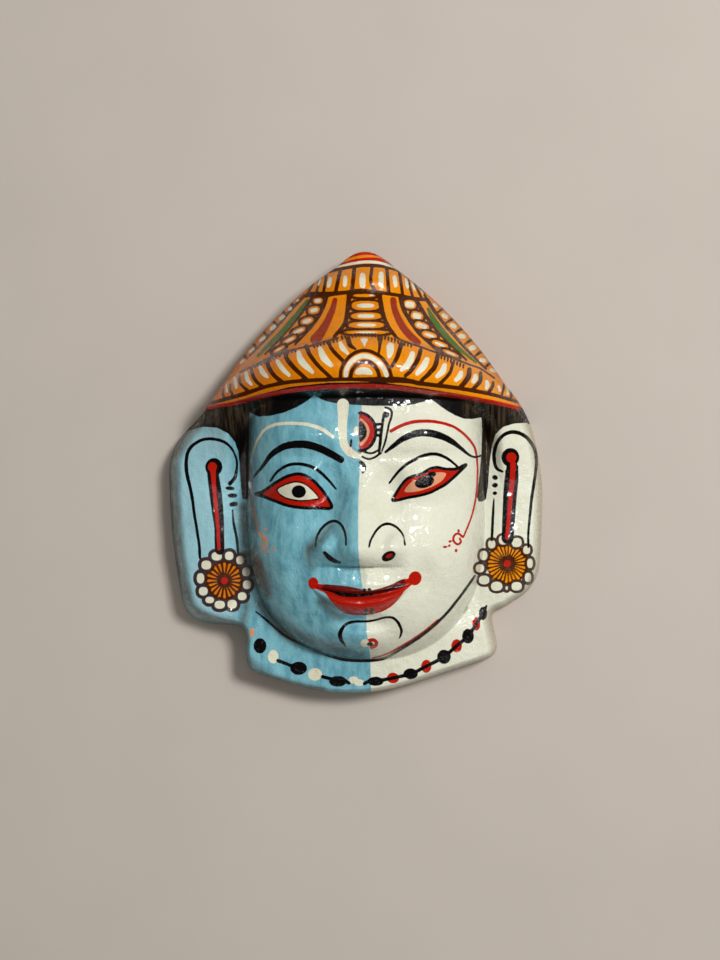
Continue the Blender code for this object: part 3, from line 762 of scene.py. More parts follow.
def even_points(path: Path, step: float) -> tuple[Array, Array]:
    """Evenly spaced points along a soft path, and the direction of the path at each."""
    line = smooth_path(np.array(path, dtype=float), False, 8)
    run = np.concatenate([[0.0], np.cumsum(np.linalg.norm(np.diff(line, axis=0), axis=1))])
    at = np.arange(0.5 * step, run[-1], step)
    places = np.stack([np.interp(at, run, line[:, k]) for k in range(2)], axis=1)
    ahead = np.stack([np.interp(at + 0.5, run, line[:, k]) for k in range(2)], axis=1)
    back = np.stack([np.interp(at - 0.5, run, line[:, k]) for k in range(2)], axis=1)
    along = ahead - back
    return places, along / np.linalg.norm(along, axis=1, keepdims=True)


@dataclass(frozen=True)
class Cell:
    """A rounded orange cell left free in the maroon, with a cream dab in it, turned by degrees."""

    place: Point
    size: Point
    dab: Point
    turn: float = 0.0
    squareness: float = 2.6

    def marks(self) -> Iterator[Mark]:
        """The maroon round the cell, the wiped cell, and the dab."""
        around = (self.size[0] + 3.4, self.size[1] + 3.4)
        yield Spot(MAROON, self.place, around, self.turn, self.squareness)
        yield Spot(MAROON, self.place, self.size, self.turn, self.squareness, wipe=True)
        yield Spot(CREAM, self.place, self.dab, self.turn, 3.2)


@dataclass(frozen=True)
class Fringe:
    """Short strokes that point down from the hat's crease at even steps, and lean along it by a share."""

    path: Path
    lean: float
    step: float = 3.4
    length: float = 2.8
    widths: Widths = (1.8, 1.0)

    def marks(self) -> Iterator[Mark]:
        """The strokes, one after the other."""
        places, along = even_points(self.path, self.step)
        downwards = -np.stack([along[:, 1], -along[:, 0]], axis=1) * np.sign(along[:, :1])
        ends = places + (downwards + along * self.lean) * self.length
        for start, end in zip(places.tolist(), ends.tolist()):
            yield Stroke(MAROON, (tuple(start), tuple(end)), self.widths)


Parts = tuple[Stroke | Patch | Spot | Cell | Fringe, ...]


def fringes(rows: tuple[tuple[Path, float], ...]) -> Parts:
    """Fringes along these paths, each with its own lean."""
    return tuple(Fringe(path, lean) for path, lean in rows)


def strokes(pigment: Pigment, rows: tuple[tuple[Path, Widths], ...]) -> Parts:
    """Strokes of one paint, each with its own widths."""
    return tuple(Stroke(pigment, path, widths) for path, widths in rows)


def alike(pigment: Pigment, widths: Widths, paths: tuple[Path, ...]) -> Parts:
    """Strokes of one paint and the same widths."""
    return tuple(Stroke(pigment, path, widths) for path in paths)


def spots(pigment: Pigment, rows: tuple[tuple[float, ...], ...], squareness: float = 2.0) -> Parts:
    """Touches of one paint: for each, its X, its Y, its size along and across, and its turn in degrees."""
    return tuple(Spot(pigment, (x, y), (long, wide), turn, squareness) for x, y, long, wide, turn in rows)


def marks_of(part: Any) -> Iterator[Mark]:
    """The marks in a mark, in a thing that is made of marks, or in a tuple of these, in order."""
    if isinstance(part, tuple):
        for one in part:
            yield from marks_of(one)
    elif isinstance(part, Mark):
        yield part
    else:
        yield from part.marks()


@dataclass(frozen=True)
class Area:
    """A part of the paint. Its fields are its marks, in the order in which they are painted."""

    def marks(self) -> Iterator[Mark]:
        """All marks of all fields."""
        for entry in fields(self):
            yield from marks_of(getattr(self, entry.name))


@dataclass(frozen=True)
class HatPaint(Area):
    """The hat's bright orange ground with its cap, its ring, its cone of stripes and its band."""

    ground: Patch = Patch(ORANGE, (
        (150, 415), (209, 411.5), (226.6, 408), (240, 405), (258, 400), (274, 396.5), (290, 393.5),
        (306, 391.5), (327, 389.5), (355, 389.5), (379, 389), (403.5, 392), (427.7, 395), (452, 398),
        (476, 402.5), (494.4, 406), (518.6, 411), (560, 420), (560, 200), (150, 200),
    ), soft=False)
    tip_red: Stroke = Stroke(RED, ((350, 257.5), (356, 255), (365, 253.5), (373, 254), (379, 256)), (
        1.0, 2.4, 2.6, 1.0,
    ))
    cap_line: Stroke = Stroke(RED, (
        (331.3, 267.5), (343.8, 263.8), (355, 260.6), (370, 259), (380, 260), (388.8, 263.8), (395, 267.5),
    ), (1.6, 2.6, 3.0, 3.0, 2.4, 1.4))
    white_line: Stroke = Stroke(CREAM, (
        (328.8, 269.4), (340, 266.3), (351.3, 263.8), (365, 261.9), (377.5, 262.5), (387.5, 265),
        (398.8, 269.4), (404, 272),
    ), (1.8, 3.0, 3.6, 3.6, 3.0, 1.6))
    left_cells: Parts = (
        Cell((317.9, 300.8), (10.5, 6.6), (7.5, 4.2), -6),
        Cell((314, 310.2), (13, 8.2), (9.8, 4.8), -10),
        Cell((307, 321), (14.6, 7.6), (11.4, 4.6), -18),
        Cell((298.6, 331), (16, 6.4), (13.8, 3.6), -23),
        Cell((289.6, 339.8), (17, 5.6), (14.4, 3.0), -26),
        Cell((279, 349.2), (16, 4.4), (13.6, 2.4), -27),
    )
    right_cells: Parts = (
        Cell((410, 304.4), (13.6, 9.4), (10.6, 6.6), 8),
        Cell((417, 316), (13.6, 9.4), (10.2, 6.2), 16),
        Cell((421.8, 326), (16.4, 8.2), (12.6, 5.4), 19),
        Cell((429.4, 335.2), (17.4, 7.2), (14.4, 3.8), 18),
        Cell((440, 344.4), (18.6, 6.4), (15.4, 3.4), 21),
        Cell((450.8, 353.4), (19, 4.6), (15.4, 2.6), 23),
    )
    centre_cells: Parts = (
        Cell((364.2, 295.6), (27, 3.6), (0.1, 0.1), 0.0, 3.0),
        Cell((365.6, 305.6), (30, 9.8), (20.6, 5.2)),
        Cell((366.3, 316), (32.5, 7.6), (20.6, 4.6)),
        Cell((366.3, 325), (38.5, 7.0), (24, 4.2)),
        Cell((366, 332.3), (50, 4.6), (31, 2.8)),
    )
    ring_top: Stroke = Stroke(MAROON, (
        (318, 277), (328.8, 271.8), (342.5, 268.6), (357.5, 266.1), (370, 265.4), (385, 266.7),
        (397.5, 270), (409, 275.5), (416, 281),
    ), (1.6, 2.6, 2.8, 2.8, 1.6))
    ring_foot: Stroke = Stroke(MAROON, (
        (304, 296), (312, 294.4), (323.8, 294.8), (332.5, 293.8), (345, 292.5), (360, 290.4),
        (376.3, 291.9), (388.8, 293.8), (400, 295.6), (412.5, 298.4), (428, 300),
    ), (3.0, 4.6, 5.6, 3.6, 3.0, 3.0, 3.0, 3.0, 3.2, 2.6))
    ring_dividers: Parts = strokes(MAROON, (
        (((313, 284), (307.5, 294)), (1.8,)),
        (((320, 279.5), (316, 293.5)), (2.0,)),
        (((326.3, 275), (323.5, 293)), (2.4,)),
        (((340, 271.3), (335.4, 293)), (3.2,)),
        (((354.4, 268.1), (351.9, 291.3)), (3.4,)),
        (((372, 267), (370.8, 281), (375, 291)), (2.8,)),
        (((386.9, 268.8), (388.8, 292.5)), (3.0,)),
        (((399.4, 272), (402.6, 294.5)), (2.6,)),
        (((407, 277.5), (412.6, 296.5)), (2.2,)),
        (((413.8, 281.5), (421.3, 297.5)), (1.8,)),
        (((420, 287), (426.3, 298)), (1.6,)),
    ))
    ring_dabs: Parts = spots(CREAM, (
        (319.4, 282.0, 2.8, 11, 18), (329.4, 282.5, 5.0, 13, 14), (345.0, 281.3, 5.2, 13.5, 3),
        (362.5, 280.4, 7.0, 17, 0), (381.2, 278.8, 6.0, 17, 0), (395.0, 281.2, 5.0, 15, -8),
        (406.8, 283.2, 4.0, 14, -13), (413.4, 286.4, 3.0, 13, -20), (422.2, 292.2, 2.2, 8, -28),
    ), 3.4)
    ring_touch: Spot = Spot(CREAM, (371.5, 295.2), (9.0, 2.2), 2.0)
    ladder_left: Stroke = Stroke(MAROON, (
        (349.5, 293), (348, 306), (346.3, 318), (343.5, 325.5), (334, 337),
    ), (4.4, 4.2, 3.6, 3.0))
    ladder_right: Stroke = Stroke(MAROON, (
        (379.2, 293), (381, 305), (383.5, 316), (388, 326), (395.5, 336.5),
    ), (4.4, 4.2, 3.6, 3.0))
    red_left: Stroke = Stroke(BRICK, (
        (335, 300), (333, 308), (329.8, 316), (325.5, 325), (320.5, 333), (315.5, 339.5),
    ), (4.6, 5.6, 6.4, 7.4, 9.0, 10.5))
    red_right: Stroke = Stroke(BRICK, (
        (393.2, 300), (394.4, 308), (397.5, 317), (403, 327), (410, 335.5), (418, 342.5),
    ), (6.0, 6.0, 6.6, 7.0, 7.0, 6.0))
    green_left: Stroke = Stroke(GREEN, (
        (307.5, 300), (301, 308.5), (295, 316.3), (288, 324.6), (282.5, 331.3), (270, 343.8), (258, 355.8),
    ), (2.2, 3.4, 4.0, 4.6, 4.6, 4.2, 2.6))
    green_right: Stroke = Stroke(GREEN, (
        (428.1, 308.8), (432.5, 317.5), (442.5, 331.3), (452.5, 342.5), (463.8, 352.5), (476.3, 362.8),
    ), (2.6, 5.0, 5.4, 4.6, 3.4, 1.6))
    lines: Parts = strokes(MAROON, (
        (
            ((326.3, 295), (323.8, 305), (318.8, 316), (312, 326), (303.5, 335.5), (295, 344.5)),
            (4.6, 3.6, 2.6, 2.0, 1.8),
        ),
        (
            ((313.4, 296), (306.3, 306), (299.6, 315.4), (290, 327.4), (280, 338.8), (265, 354)),
            (3.2, 2.4, 1.9, 1.6),
        ),
        (
            ((303, 297), (295, 305.5), (286, 316), (276, 328), (264, 341), (250, 355.5)),
            (2.6, 2.0, 1.8, 1.5),
        ),
        (
            ((400.6, 296), (403, 308), (408.8, 319), (417.5, 332), (428.8, 342.8), (440, 353)),
            (4.6, 3.6, 2.6, 2.2, 1.9),
        ),
        (
            ((415.6, 299), (422.5, 310.8), (432, 324.6), (441.3, 335.4), (452.5, 346.6), (466.3, 360)),
            (3.8, 3.2, 2.2, 1.8),
        ),
        (
            ((426.5, 299), (435, 312), (445, 325), (456.3, 338), (465, 348), (476.3, 359.4), (486, 369)),
            (3.4, 2.8, 2.2, 1.6),
        ),
    ))
    outer_left_dabs: Parts = spots(CREAM, (
        (297.5, 300.4, 5, 2.8, -35), (290, 308.8, 6, 4, -35), (281.9, 317.5, 8.5, 4.6, -38),
        (273.1, 327.5, 9, 4.6, -38), (262.3, 339, 9.5, 4.2, -38), (251.5, 350.5, 9.5, 3.6, -40),
        (242, 361.5, 8.5, 3, -42),
    ), 3.0)
    outer_right_dabs: Parts = spots(CREAM, (
        (435.4, 305.4, 7, 4, 38), (445, 315.8, 8, 5.4, 30), (453.4, 325.8, 8.4, 5.4, 24),
        (462, 336.2, 9, 5.4, 12), (472.6, 347.8, 9, 6, -18), (482.8, 360.4, 9, 5, 10),
        (493, 370.4, 8, 4.4, 20),
    ), 3.0)
    outer_rungs: Parts = alike(MAROON, (1.6, 2.8), (
        ((288.5, 300.5), (292.5, 305)), ((280.5, 309.5), (285.5, 314)), ((271, 319.5), (277, 325)),
        ((261.5, 330), (268, 336)), ((250, 341.5), (257, 347.5)), ((241, 353.5), (247, 358)),
        ((437.5, 312.5), (444, 308)), ((446, 323), (453, 318.5)), ((455, 333), (462, 328.5)),
        ((464.5, 344.5), (471.5, 339.5)), ((474.5, 356.5), (481, 351.5)), ((484.5, 367.5), (491, 362.5)),
    ))


@dataclass(frozen=True)
class BandPaint(Area):
    """The hat's bulging band: slanted dabs between dividers, a half-circle ornament and the brim's lines."""

    crease_left: Stroke = Stroke(MAROON, (
        (338, 338), (333, 339.4), (325, 341.3), (311.3, 345.8), (295, 349), (285, 352.5), (271.3, 356.8),
        (256.3, 364), (240, 372.5),
    ), (1.4,))
    crease_right: Stroke = Stroke(MAROON, (
        (395.5, 336.5), (403.5, 341), (420.4, 346.7), (437.4, 353), (454.4, 358.8), (470, 364.8),
        (481, 369), (494.4, 378),
    ), (1.4,))
    fringe: Parts = fringes((
        (((338, 339), (325, 341.8), (311.3, 346)), -0.2),
        (((296, 349), (287, 351)), -0.2),
        (((280, 354), (268, 359), (252, 366)), -0.3),
        (((340, 337.2), (360, 333.6), (375, 334.2), (388, 337.4), (403.5, 342), (414, 345)), 0.2),
        (((440, 355), (454.4, 361), (466, 366)), 0.3),
    ))
    dividers: Parts = strokes(MAROON, (
        (((348.1, 339), (350, 345), (355.6, 349)), (4.6, 4.2, 1.6)),
        (((328.1, 341.9), (332.5, 350), (344.4, 362.5)), (2.2, 3.4, 3.4)),
        (((306.3, 346.3), (310, 355), (318.8, 366.3), (331.3, 378.1)), (4.0, 3.6, 3.4, 3.0)),
        (((285, 351.3), (286.9, 358.8), (295, 368.8), (306.3, 378.8)), (3.0, 4.0, 4.0, 3.2)),
        (((266.9, 360), (268.8, 367.5), (275, 376.3), (282.5, 381.9)), (3.0, 4.0, 3.6, 3.2)),
        (((251.3, 368.8), (253.1, 376.3), (257.5, 382.5), (261.9, 385.5)), (2.4, 3.2, 3.0, 2.6)),
        (((239.4, 376.3), (240, 382.5), (243.8, 387.5), (247.5, 390)), (1.8, 2.4, 2.4)),
        (((230.6, 384), (230, 389.5), (232.5, 394.5)), (1.8, 2.2)),
        (((223.4, 389), (223, 394), (224, 397.5)), (1.6, 1.8)),
        (((380, 338.5), (380, 343), (379, 352)), (5.6, 3.0, 1.8)),
        (((401.3, 344), (397.5, 356.3), (391.9, 366.3)), (4.0, 4.0, 3.0)),
        (((420.6, 350.5), (417.5, 360), (411.3, 370), (405.6, 375.5)), (3.6, 4.2, 4.0, 3.0)),
        (((437.5, 356), (435, 366.3), (428.8, 373.8), (421.3, 380.6)), (4.0, 4.4, 4.0, 3.0)),
        (((453.1, 363), (450, 372.5), (443.8, 380), (439.4, 384)), (2.6, 3.0, 3.0)),
        (((469.4, 369.5), (468.1, 377.5), (460, 388)), (4.0, 4.8, 4.4)),
        (((480.6, 373), (480, 381.3), (472.5, 389.6)), (3.0, 3.6, 3.2)),
        (((493.1, 382.5), (492.3, 387), (488.8, 392.5)), (2.6, 3.0)),
        (((503.8, 384.5), (503.4, 389), (501.9, 394.5)), (1.6, 1.8)),
        (((511, 391), (511.5, 395), (510.7, 399.5)), (1.6, 2.4)),
    ))
    dabs: Parts = strokes(CREAM, (
        (((340.4, 343), (342.8, 348), (347.6, 353.2)), (4.6, 6.4, 4.0)),
        (((320, 348.4), (323.8, 357.5), (331, 365.2)), (5.4, 8.0, 5.0)),
        (((298.6, 352.6), (301.6, 361.3), (312.4, 372)), (5.2, 7.6, 4.8)),
        (((277.4, 361.2), (282.5, 368.8), (289, 375.2)), (4.8, 5.8, 4.4)),
        (((260, 367.4), (263.3, 373), (267.8, 377.4)), (4.8, 6.0, 3.2)),
        (((246, 373), (247.7, 380), (251.6, 384.6)), (4.4, 5.2, 3.2)),
        (((234.8, 377.6), (235.7, 383.4), (236.2, 388)), (3.4, 4.6, 3.0)),
        (((226.4, 385), (226.8, 391.5)), (2.6, 3.2)),
        (((390.4, 346.5), (390.2, 351.3), (389.2, 356.4)), (8.4, 8.0, 5.0)),
        (((412.4, 353.8), (409.6, 362), (401.6, 370)), (6.0, 7.4, 4.6)),
        (((426.9, 359.6), (423.4, 366.6), (417.2, 373.8)), (6.0, 7.4, 4.8)),
        (((444.6, 365.4), (442.6, 371.3), (437, 376.4)), (5.4, 7.2, 4.8)),
        (((461, 372.6), (459.8, 376.3), (456, 380)), (5.2, 6.4, 5.0)),
        (((475.4, 375.6), (475, 378.8), (473.2, 381.8)), (4.6, 6.2, 4.6)),
        (((487, 381.6), (487.4, 385), (486.5, 388)), (4.2, 5.2, 4.2)),
        (((498.8, 386.4), (499.8, 390.4)), (3.6, 3.8)),
        (((507.4, 387.6), (508, 394)), (3.0, 3.6)),
    ))
    drop: Patch = Patch(CREAM, (
        (360, 339.4), (364.4, 337.6), (368.4, 339.4), (366.9, 342.5), (364.6, 347.4), (362.3, 343.1),
    ))
    arch_outer: Stroke = Stroke(MAROON, (
        (340.6, 379), (340.9, 370.5), (344.6, 362.5), (350.8, 355.4), (357.5, 351.7), (365, 350.4),
        (372.7, 352.2), (381.3, 357.4), (387.5, 365.6), (390.8, 373.8), (391, 378),
    ), (3.0,))
    arch_white: Stroke = Stroke(CREAM, (
        (345.7, 375.2), (346.9, 368.8), (351.3, 361.6), (358.4, 357), (365, 355.8), (371.5, 357.5),
        (378.8, 362.7), (384.4, 370), (386.4, 375.2),
    ), (5.4,))
    arch_inner: Stroke = Stroke(MAROON, (
        (350.4, 377.5), (352.5, 369.6), (358.4, 363.6), (365, 361.4), (371.5, 363.4), (377.3, 370),
        (379.6, 377.5),
    ), (3.4,))
    arch_dab: Patch = Patch(CREAM, (
        (355, 374.4), (355.4, 370.4), (359, 367.6), (364, 366.8), (369, 368), (372.6, 371.4), (373, 374.8),
        (368, 375.2), (364, 374.6), (359, 375.2),
    ))
    lower_line: Stroke = Stroke(MAROON, (
        (209, 404), (217.5, 401.3), (230, 397.8), (245, 393.6), (262.5, 387.6), (277.5, 384), (295, 381.4),
        (315, 380.1), (335, 379.4), (355, 379.4), (372, 379.6), (386, 379.8), (400, 380), (411.3, 381.4),
        (420, 383.4), (440, 385.8), (457.5, 388), (482.5, 392.3), (500, 396.6), (518, 402),
    ), (
        2.4, 3.0, 3.6, 3.8, 3.4, 3.4, 3.4, 3.4, 3.2, 3.2, 4.6, 5.6, 5.4, 4.2, 3.8, 3.8, 3.6, 3.4, 3.0, 2.4,
    ))
    red_line: Stroke = Stroke(RED, (
        (204, 409), (215, 406.3), (233.8, 403.4), (252.5, 398.8), (265, 395.8), (283.8, 392),
        (302.5, 389.2), (327.5, 387.2), (352.5, 386.4), (370, 386.1), (395, 387.7), (420, 391.2),
        (445, 394.6), (470, 398.2), (495, 402.6), (519, 408.2),
    ), (2.8, 3.2, 3.8, 4.2, 4.4, 4.4, 4.4, 4.0, 3.4))


@dataclass(frozen=True)
class HairPaint(Area):
    """The black hair from the brim to the hairline, its brown streaks at the sides, and the sideburns."""

    hair: Patch = Patch(HAIR, (
        (150, 425), (200, 409.5), (226.6, 404), (258, 395), (290, 387), (326.5, 383), (379, 382),
        (427.7, 389), (476, 397), (520, 407), (560, 420), (560, 440), (540, 430), (526.7, 422.6),
        (514, 423.4), (503, 426.8), (495.6, 434), (492, 445), (489.6, 461.7), (487.8, 486), (486, 498.6),
        (482.5, 501.6), (478.6, 501.4), (476.8, 496), (479.6, 475), (481.6, 453), (482.3, 430),
        (481.5, 417.2), (473, 418.8), (464, 418.6), (456, 415.6), (447, 410.6), (440, 405.6),
        (431.4, 399.2), (422, 402), (413.8, 404.2), (401, 405.8), (370, 405.6), (352, 404.6), (336.5, 403),
        (328, 401.6), (321.4, 399.4), (314.4, 394.8), (307.5, 400.6), (296.4, 407.2), (284, 412.4),
        (271, 415.6), (258, 416.4), (249.4, 412), (248.9, 440), (249.1, 470), (249.8, 497), (246.5, 499.6),
        (242.4, 498.6), (240.6, 480), (238.6, 452), (235, 441.8), (228.3, 433.4), (217, 427.6),
        (203, 426.6), (190, 430), (160, 445),
    ), soft=False)
    left_streaks: Patch = Patch(STREAK, (
        (150, 425), (205, 409), (230, 403), (262, 397), (270, 402), (266, 412), (252, 416), (246, 428),
        (238, 436), (228, 428), (208, 424), (190, 428), (150, 450),
    ))
    right_streaks: Patch = Patch(STREAK, (
        (464, 396), (480, 398), (498, 403), (522, 409), (545, 420), (545, 432), (528, 423), (508, 423),
        (496, 432), (491, 450), (487, 480), (484, 494), (480, 490), (482, 460), (484, 430), (478, 416),
        (466, 414),
    ))


@dataclass(frozen=True)
class BlueHalfPaint(Area):
    """The marks on the blue half: the forehead sign, the brow, the eye, the nostril, and painted shade where
    the face turns away from the light.
    """

    eye_path: ClassVar[Path] = (
        (255.6, 494), (262, 492), (268, 488), (276, 482.4), (286, 476.8), (296, 474), (304, 475),
        (312, 479.6), (319, 486.4), (325.6, 495), (331.6, 507.4), (318, 508), (303, 507.8), (288, 505.6),
        (275, 501), (264, 496.6),
    )
    sclera_path: ClassVar[Path] = (
        (277, 489.4), (283, 485.6), (291, 482.6), (299, 482), (307, 485.4), (313, 490.6), (319, 498),
        (315, 499.4), (306, 500.6), (296, 500.4), (286, 498), (279.6, 494),
    )
    blue: Patch = Patch(BLUE, (
        (100, 300), (361, 300), (361.5, 405), (361, 430), (360.5, 450), (359, 480), (358, 505), (358, 545),
        (359.7, 569), (363, 592), (366, 616), (366.6, 632), (370, 655), (370.6, 680), (371, 720),
        (100, 720),
    ), soft=False)
    sign_upright: Stroke = Stroke(CREAM, (
        (343, 404.4), (343, 412), (342.6, 422), (342.6, 435), (344.4, 445), (350.5, 452.5), (361, 457.5),
    ), (12.6, 11.6, 10.0, 9.2, 9.0, 9.0, 5.0))
    dot: Spot = Spot(CREAM, (356.4, 430.5), (6.5, 9.5))
    tick: Stroke = Stroke(BLACK, ((351.4, 440), (350.6, 446)), (2.0,))
    cream_brow: Stroke = Stroke(CREAM, (
        (333, 437), (325, 431), (318, 427.4), (308, 424.6), (299, 423.6), (289, 423.2), (280, 423.8),
        (272, 425.6), (265, 429.4), (260.5, 435), (256.5, 442), (252.6, 454), (250.8, 466),
    ), (4.4, 4.4, 4.0, 3.8, 3.2, 2.6))
    tan_brow: Stroke = Stroke(PINK, (
        (250.8, 464), (250.4, 478), (251.2, 489), (252.8, 503), (255.4, 517), (258.6, 532), (262, 538),
    ), (1.8, 1.6))
    curl: Stroke = Stroke(PINK, (
        (260, 533), (264, 537.6), (266.8, 542.4), (265, 547.4), (262, 545.6), (263, 541), (266.6, 536.4),
    ), (2.0,))
    curl_dots: Parts = spots(PINK, (
        (273.3, 548.8, 3.2, 3.0, 0), (265.8, 529, 3.2, 3.0, 0), (262.8, 551.4, 3.2, 3.0, 0),
        (268, 551, 3.2, 3.0, 0),
    ))
    # painted shade: grey-brown strokes at the face's left edge, along the jaw, beside the nose and under the
    # lower lip, where the face turns away from the light
    dusk: Parts = strokes(DUSK, (
        (((250, 417), (250, 450), (250, 480), (251, 510), (253, 528)), (4.0, 5.0, 5.0, 6.0, 7.0)),
        (((243, 508), (245, 530), (250, 556), (260, 580), (266, 594)), (8.0, 10.0, 14.0, 14.0, 8.0)),
        (((262, 602), (284, 628), (308, 642), (336, 651), (362, 655)), (4.0, 9.0, 9.0, 8.0, 2.0)),
        (((331, 526), (320, 540), (308, 552), (313, 568)), (1.0, 3.0, 4.0, 1.0)),
        (((322, 602), (331, 611), (340, 616)), (4.0, 4.6, 2.0)),
        (((246, 606), (243, 624), (244, 642)), (3.0, 4.0, 3.0)),
    ))
    # painted shade on the left ear's outer wall, and painted shadow along the neck's lower left edge where it
    # meets the floor
    wall_painted_shade: Parts = strokes(DUSK, (
        (((199, 423), (184, 438), (173, 456)), (4.0, 6.0, 8.0)),
        (
            ((171, 466), (174, 520), (179, 566), (188, 598), (204, 615), (232, 621)),
            (10.0, 10.0, 9.0, 6.0, 4.0, 2.0),
        ),
        (((238, 652), (258, 671), (288, 684), (322, 690)), (6.0, 6.0, 4.0, 2.0)),
    ))
    brow: Stroke = Stroke(BLACK, (
        (252, 479.5), (256, 474), (261, 468.5), (266, 461.5), (271, 455), (278.5, 449.4), (286, 446),
        (295, 444.4), (304, 444.4), (312, 445.8), (320, 448.6), (330, 453.4), (341, 459.6),
    ), (1.6, 2.4, 3.4, 5.0, 6.4, 7.2, 7.6, 7.6, 7.4, 6.6))
    lid: Stroke = Stroke(BLACK, (
        (270.5, 481), (277, 472), (287, 465.6), (295, 464), (303, 464.4), (311, 466.6), (318.5, 470.8),
        (325, 476.6), (331, 483), (336, 489),
    ), (2.0, 3.0, 3.2, 3.0, 1.8))
    eye: Patch = Patch(RED, eye_path)
    sclera: Patch = Patch(CREAM, sclera_path)
    eye_line: Stroke = Stroke(BLACK, eye_path, (3.0,), closed=True)
    sclera_line: Stroke = Stroke(BLACK, sclera_path, (1.3,), closed=True)
    pupil: Spot = Spot(BLACK, (298.8, 491.6), (14.0, 12.6))
    wing_line: Stroke = Stroke(BLACK, (
        (315.5, 546), (316.4, 538.5), (319.5, 531.5), (323.4, 526.6), (328.6, 522.6), (334.6, 521),
        (340, 523.6), (343.6, 529), (345.6, 536), (346, 545),
    ), (1.6, 2.4, 2.8, 2.4, 1.6))
    nostril: Stroke = Stroke(BLACK, ((324.6, 553), (329, 557.4), (334, 560.6), (340, 562.6)), (
        3.5, 4.6, 4.0, 2.2,
    ))
    nostril_red: Stroke = Stroke(RED_OVER, ((329, 557.4), (334, 560.6)), (1.6,))


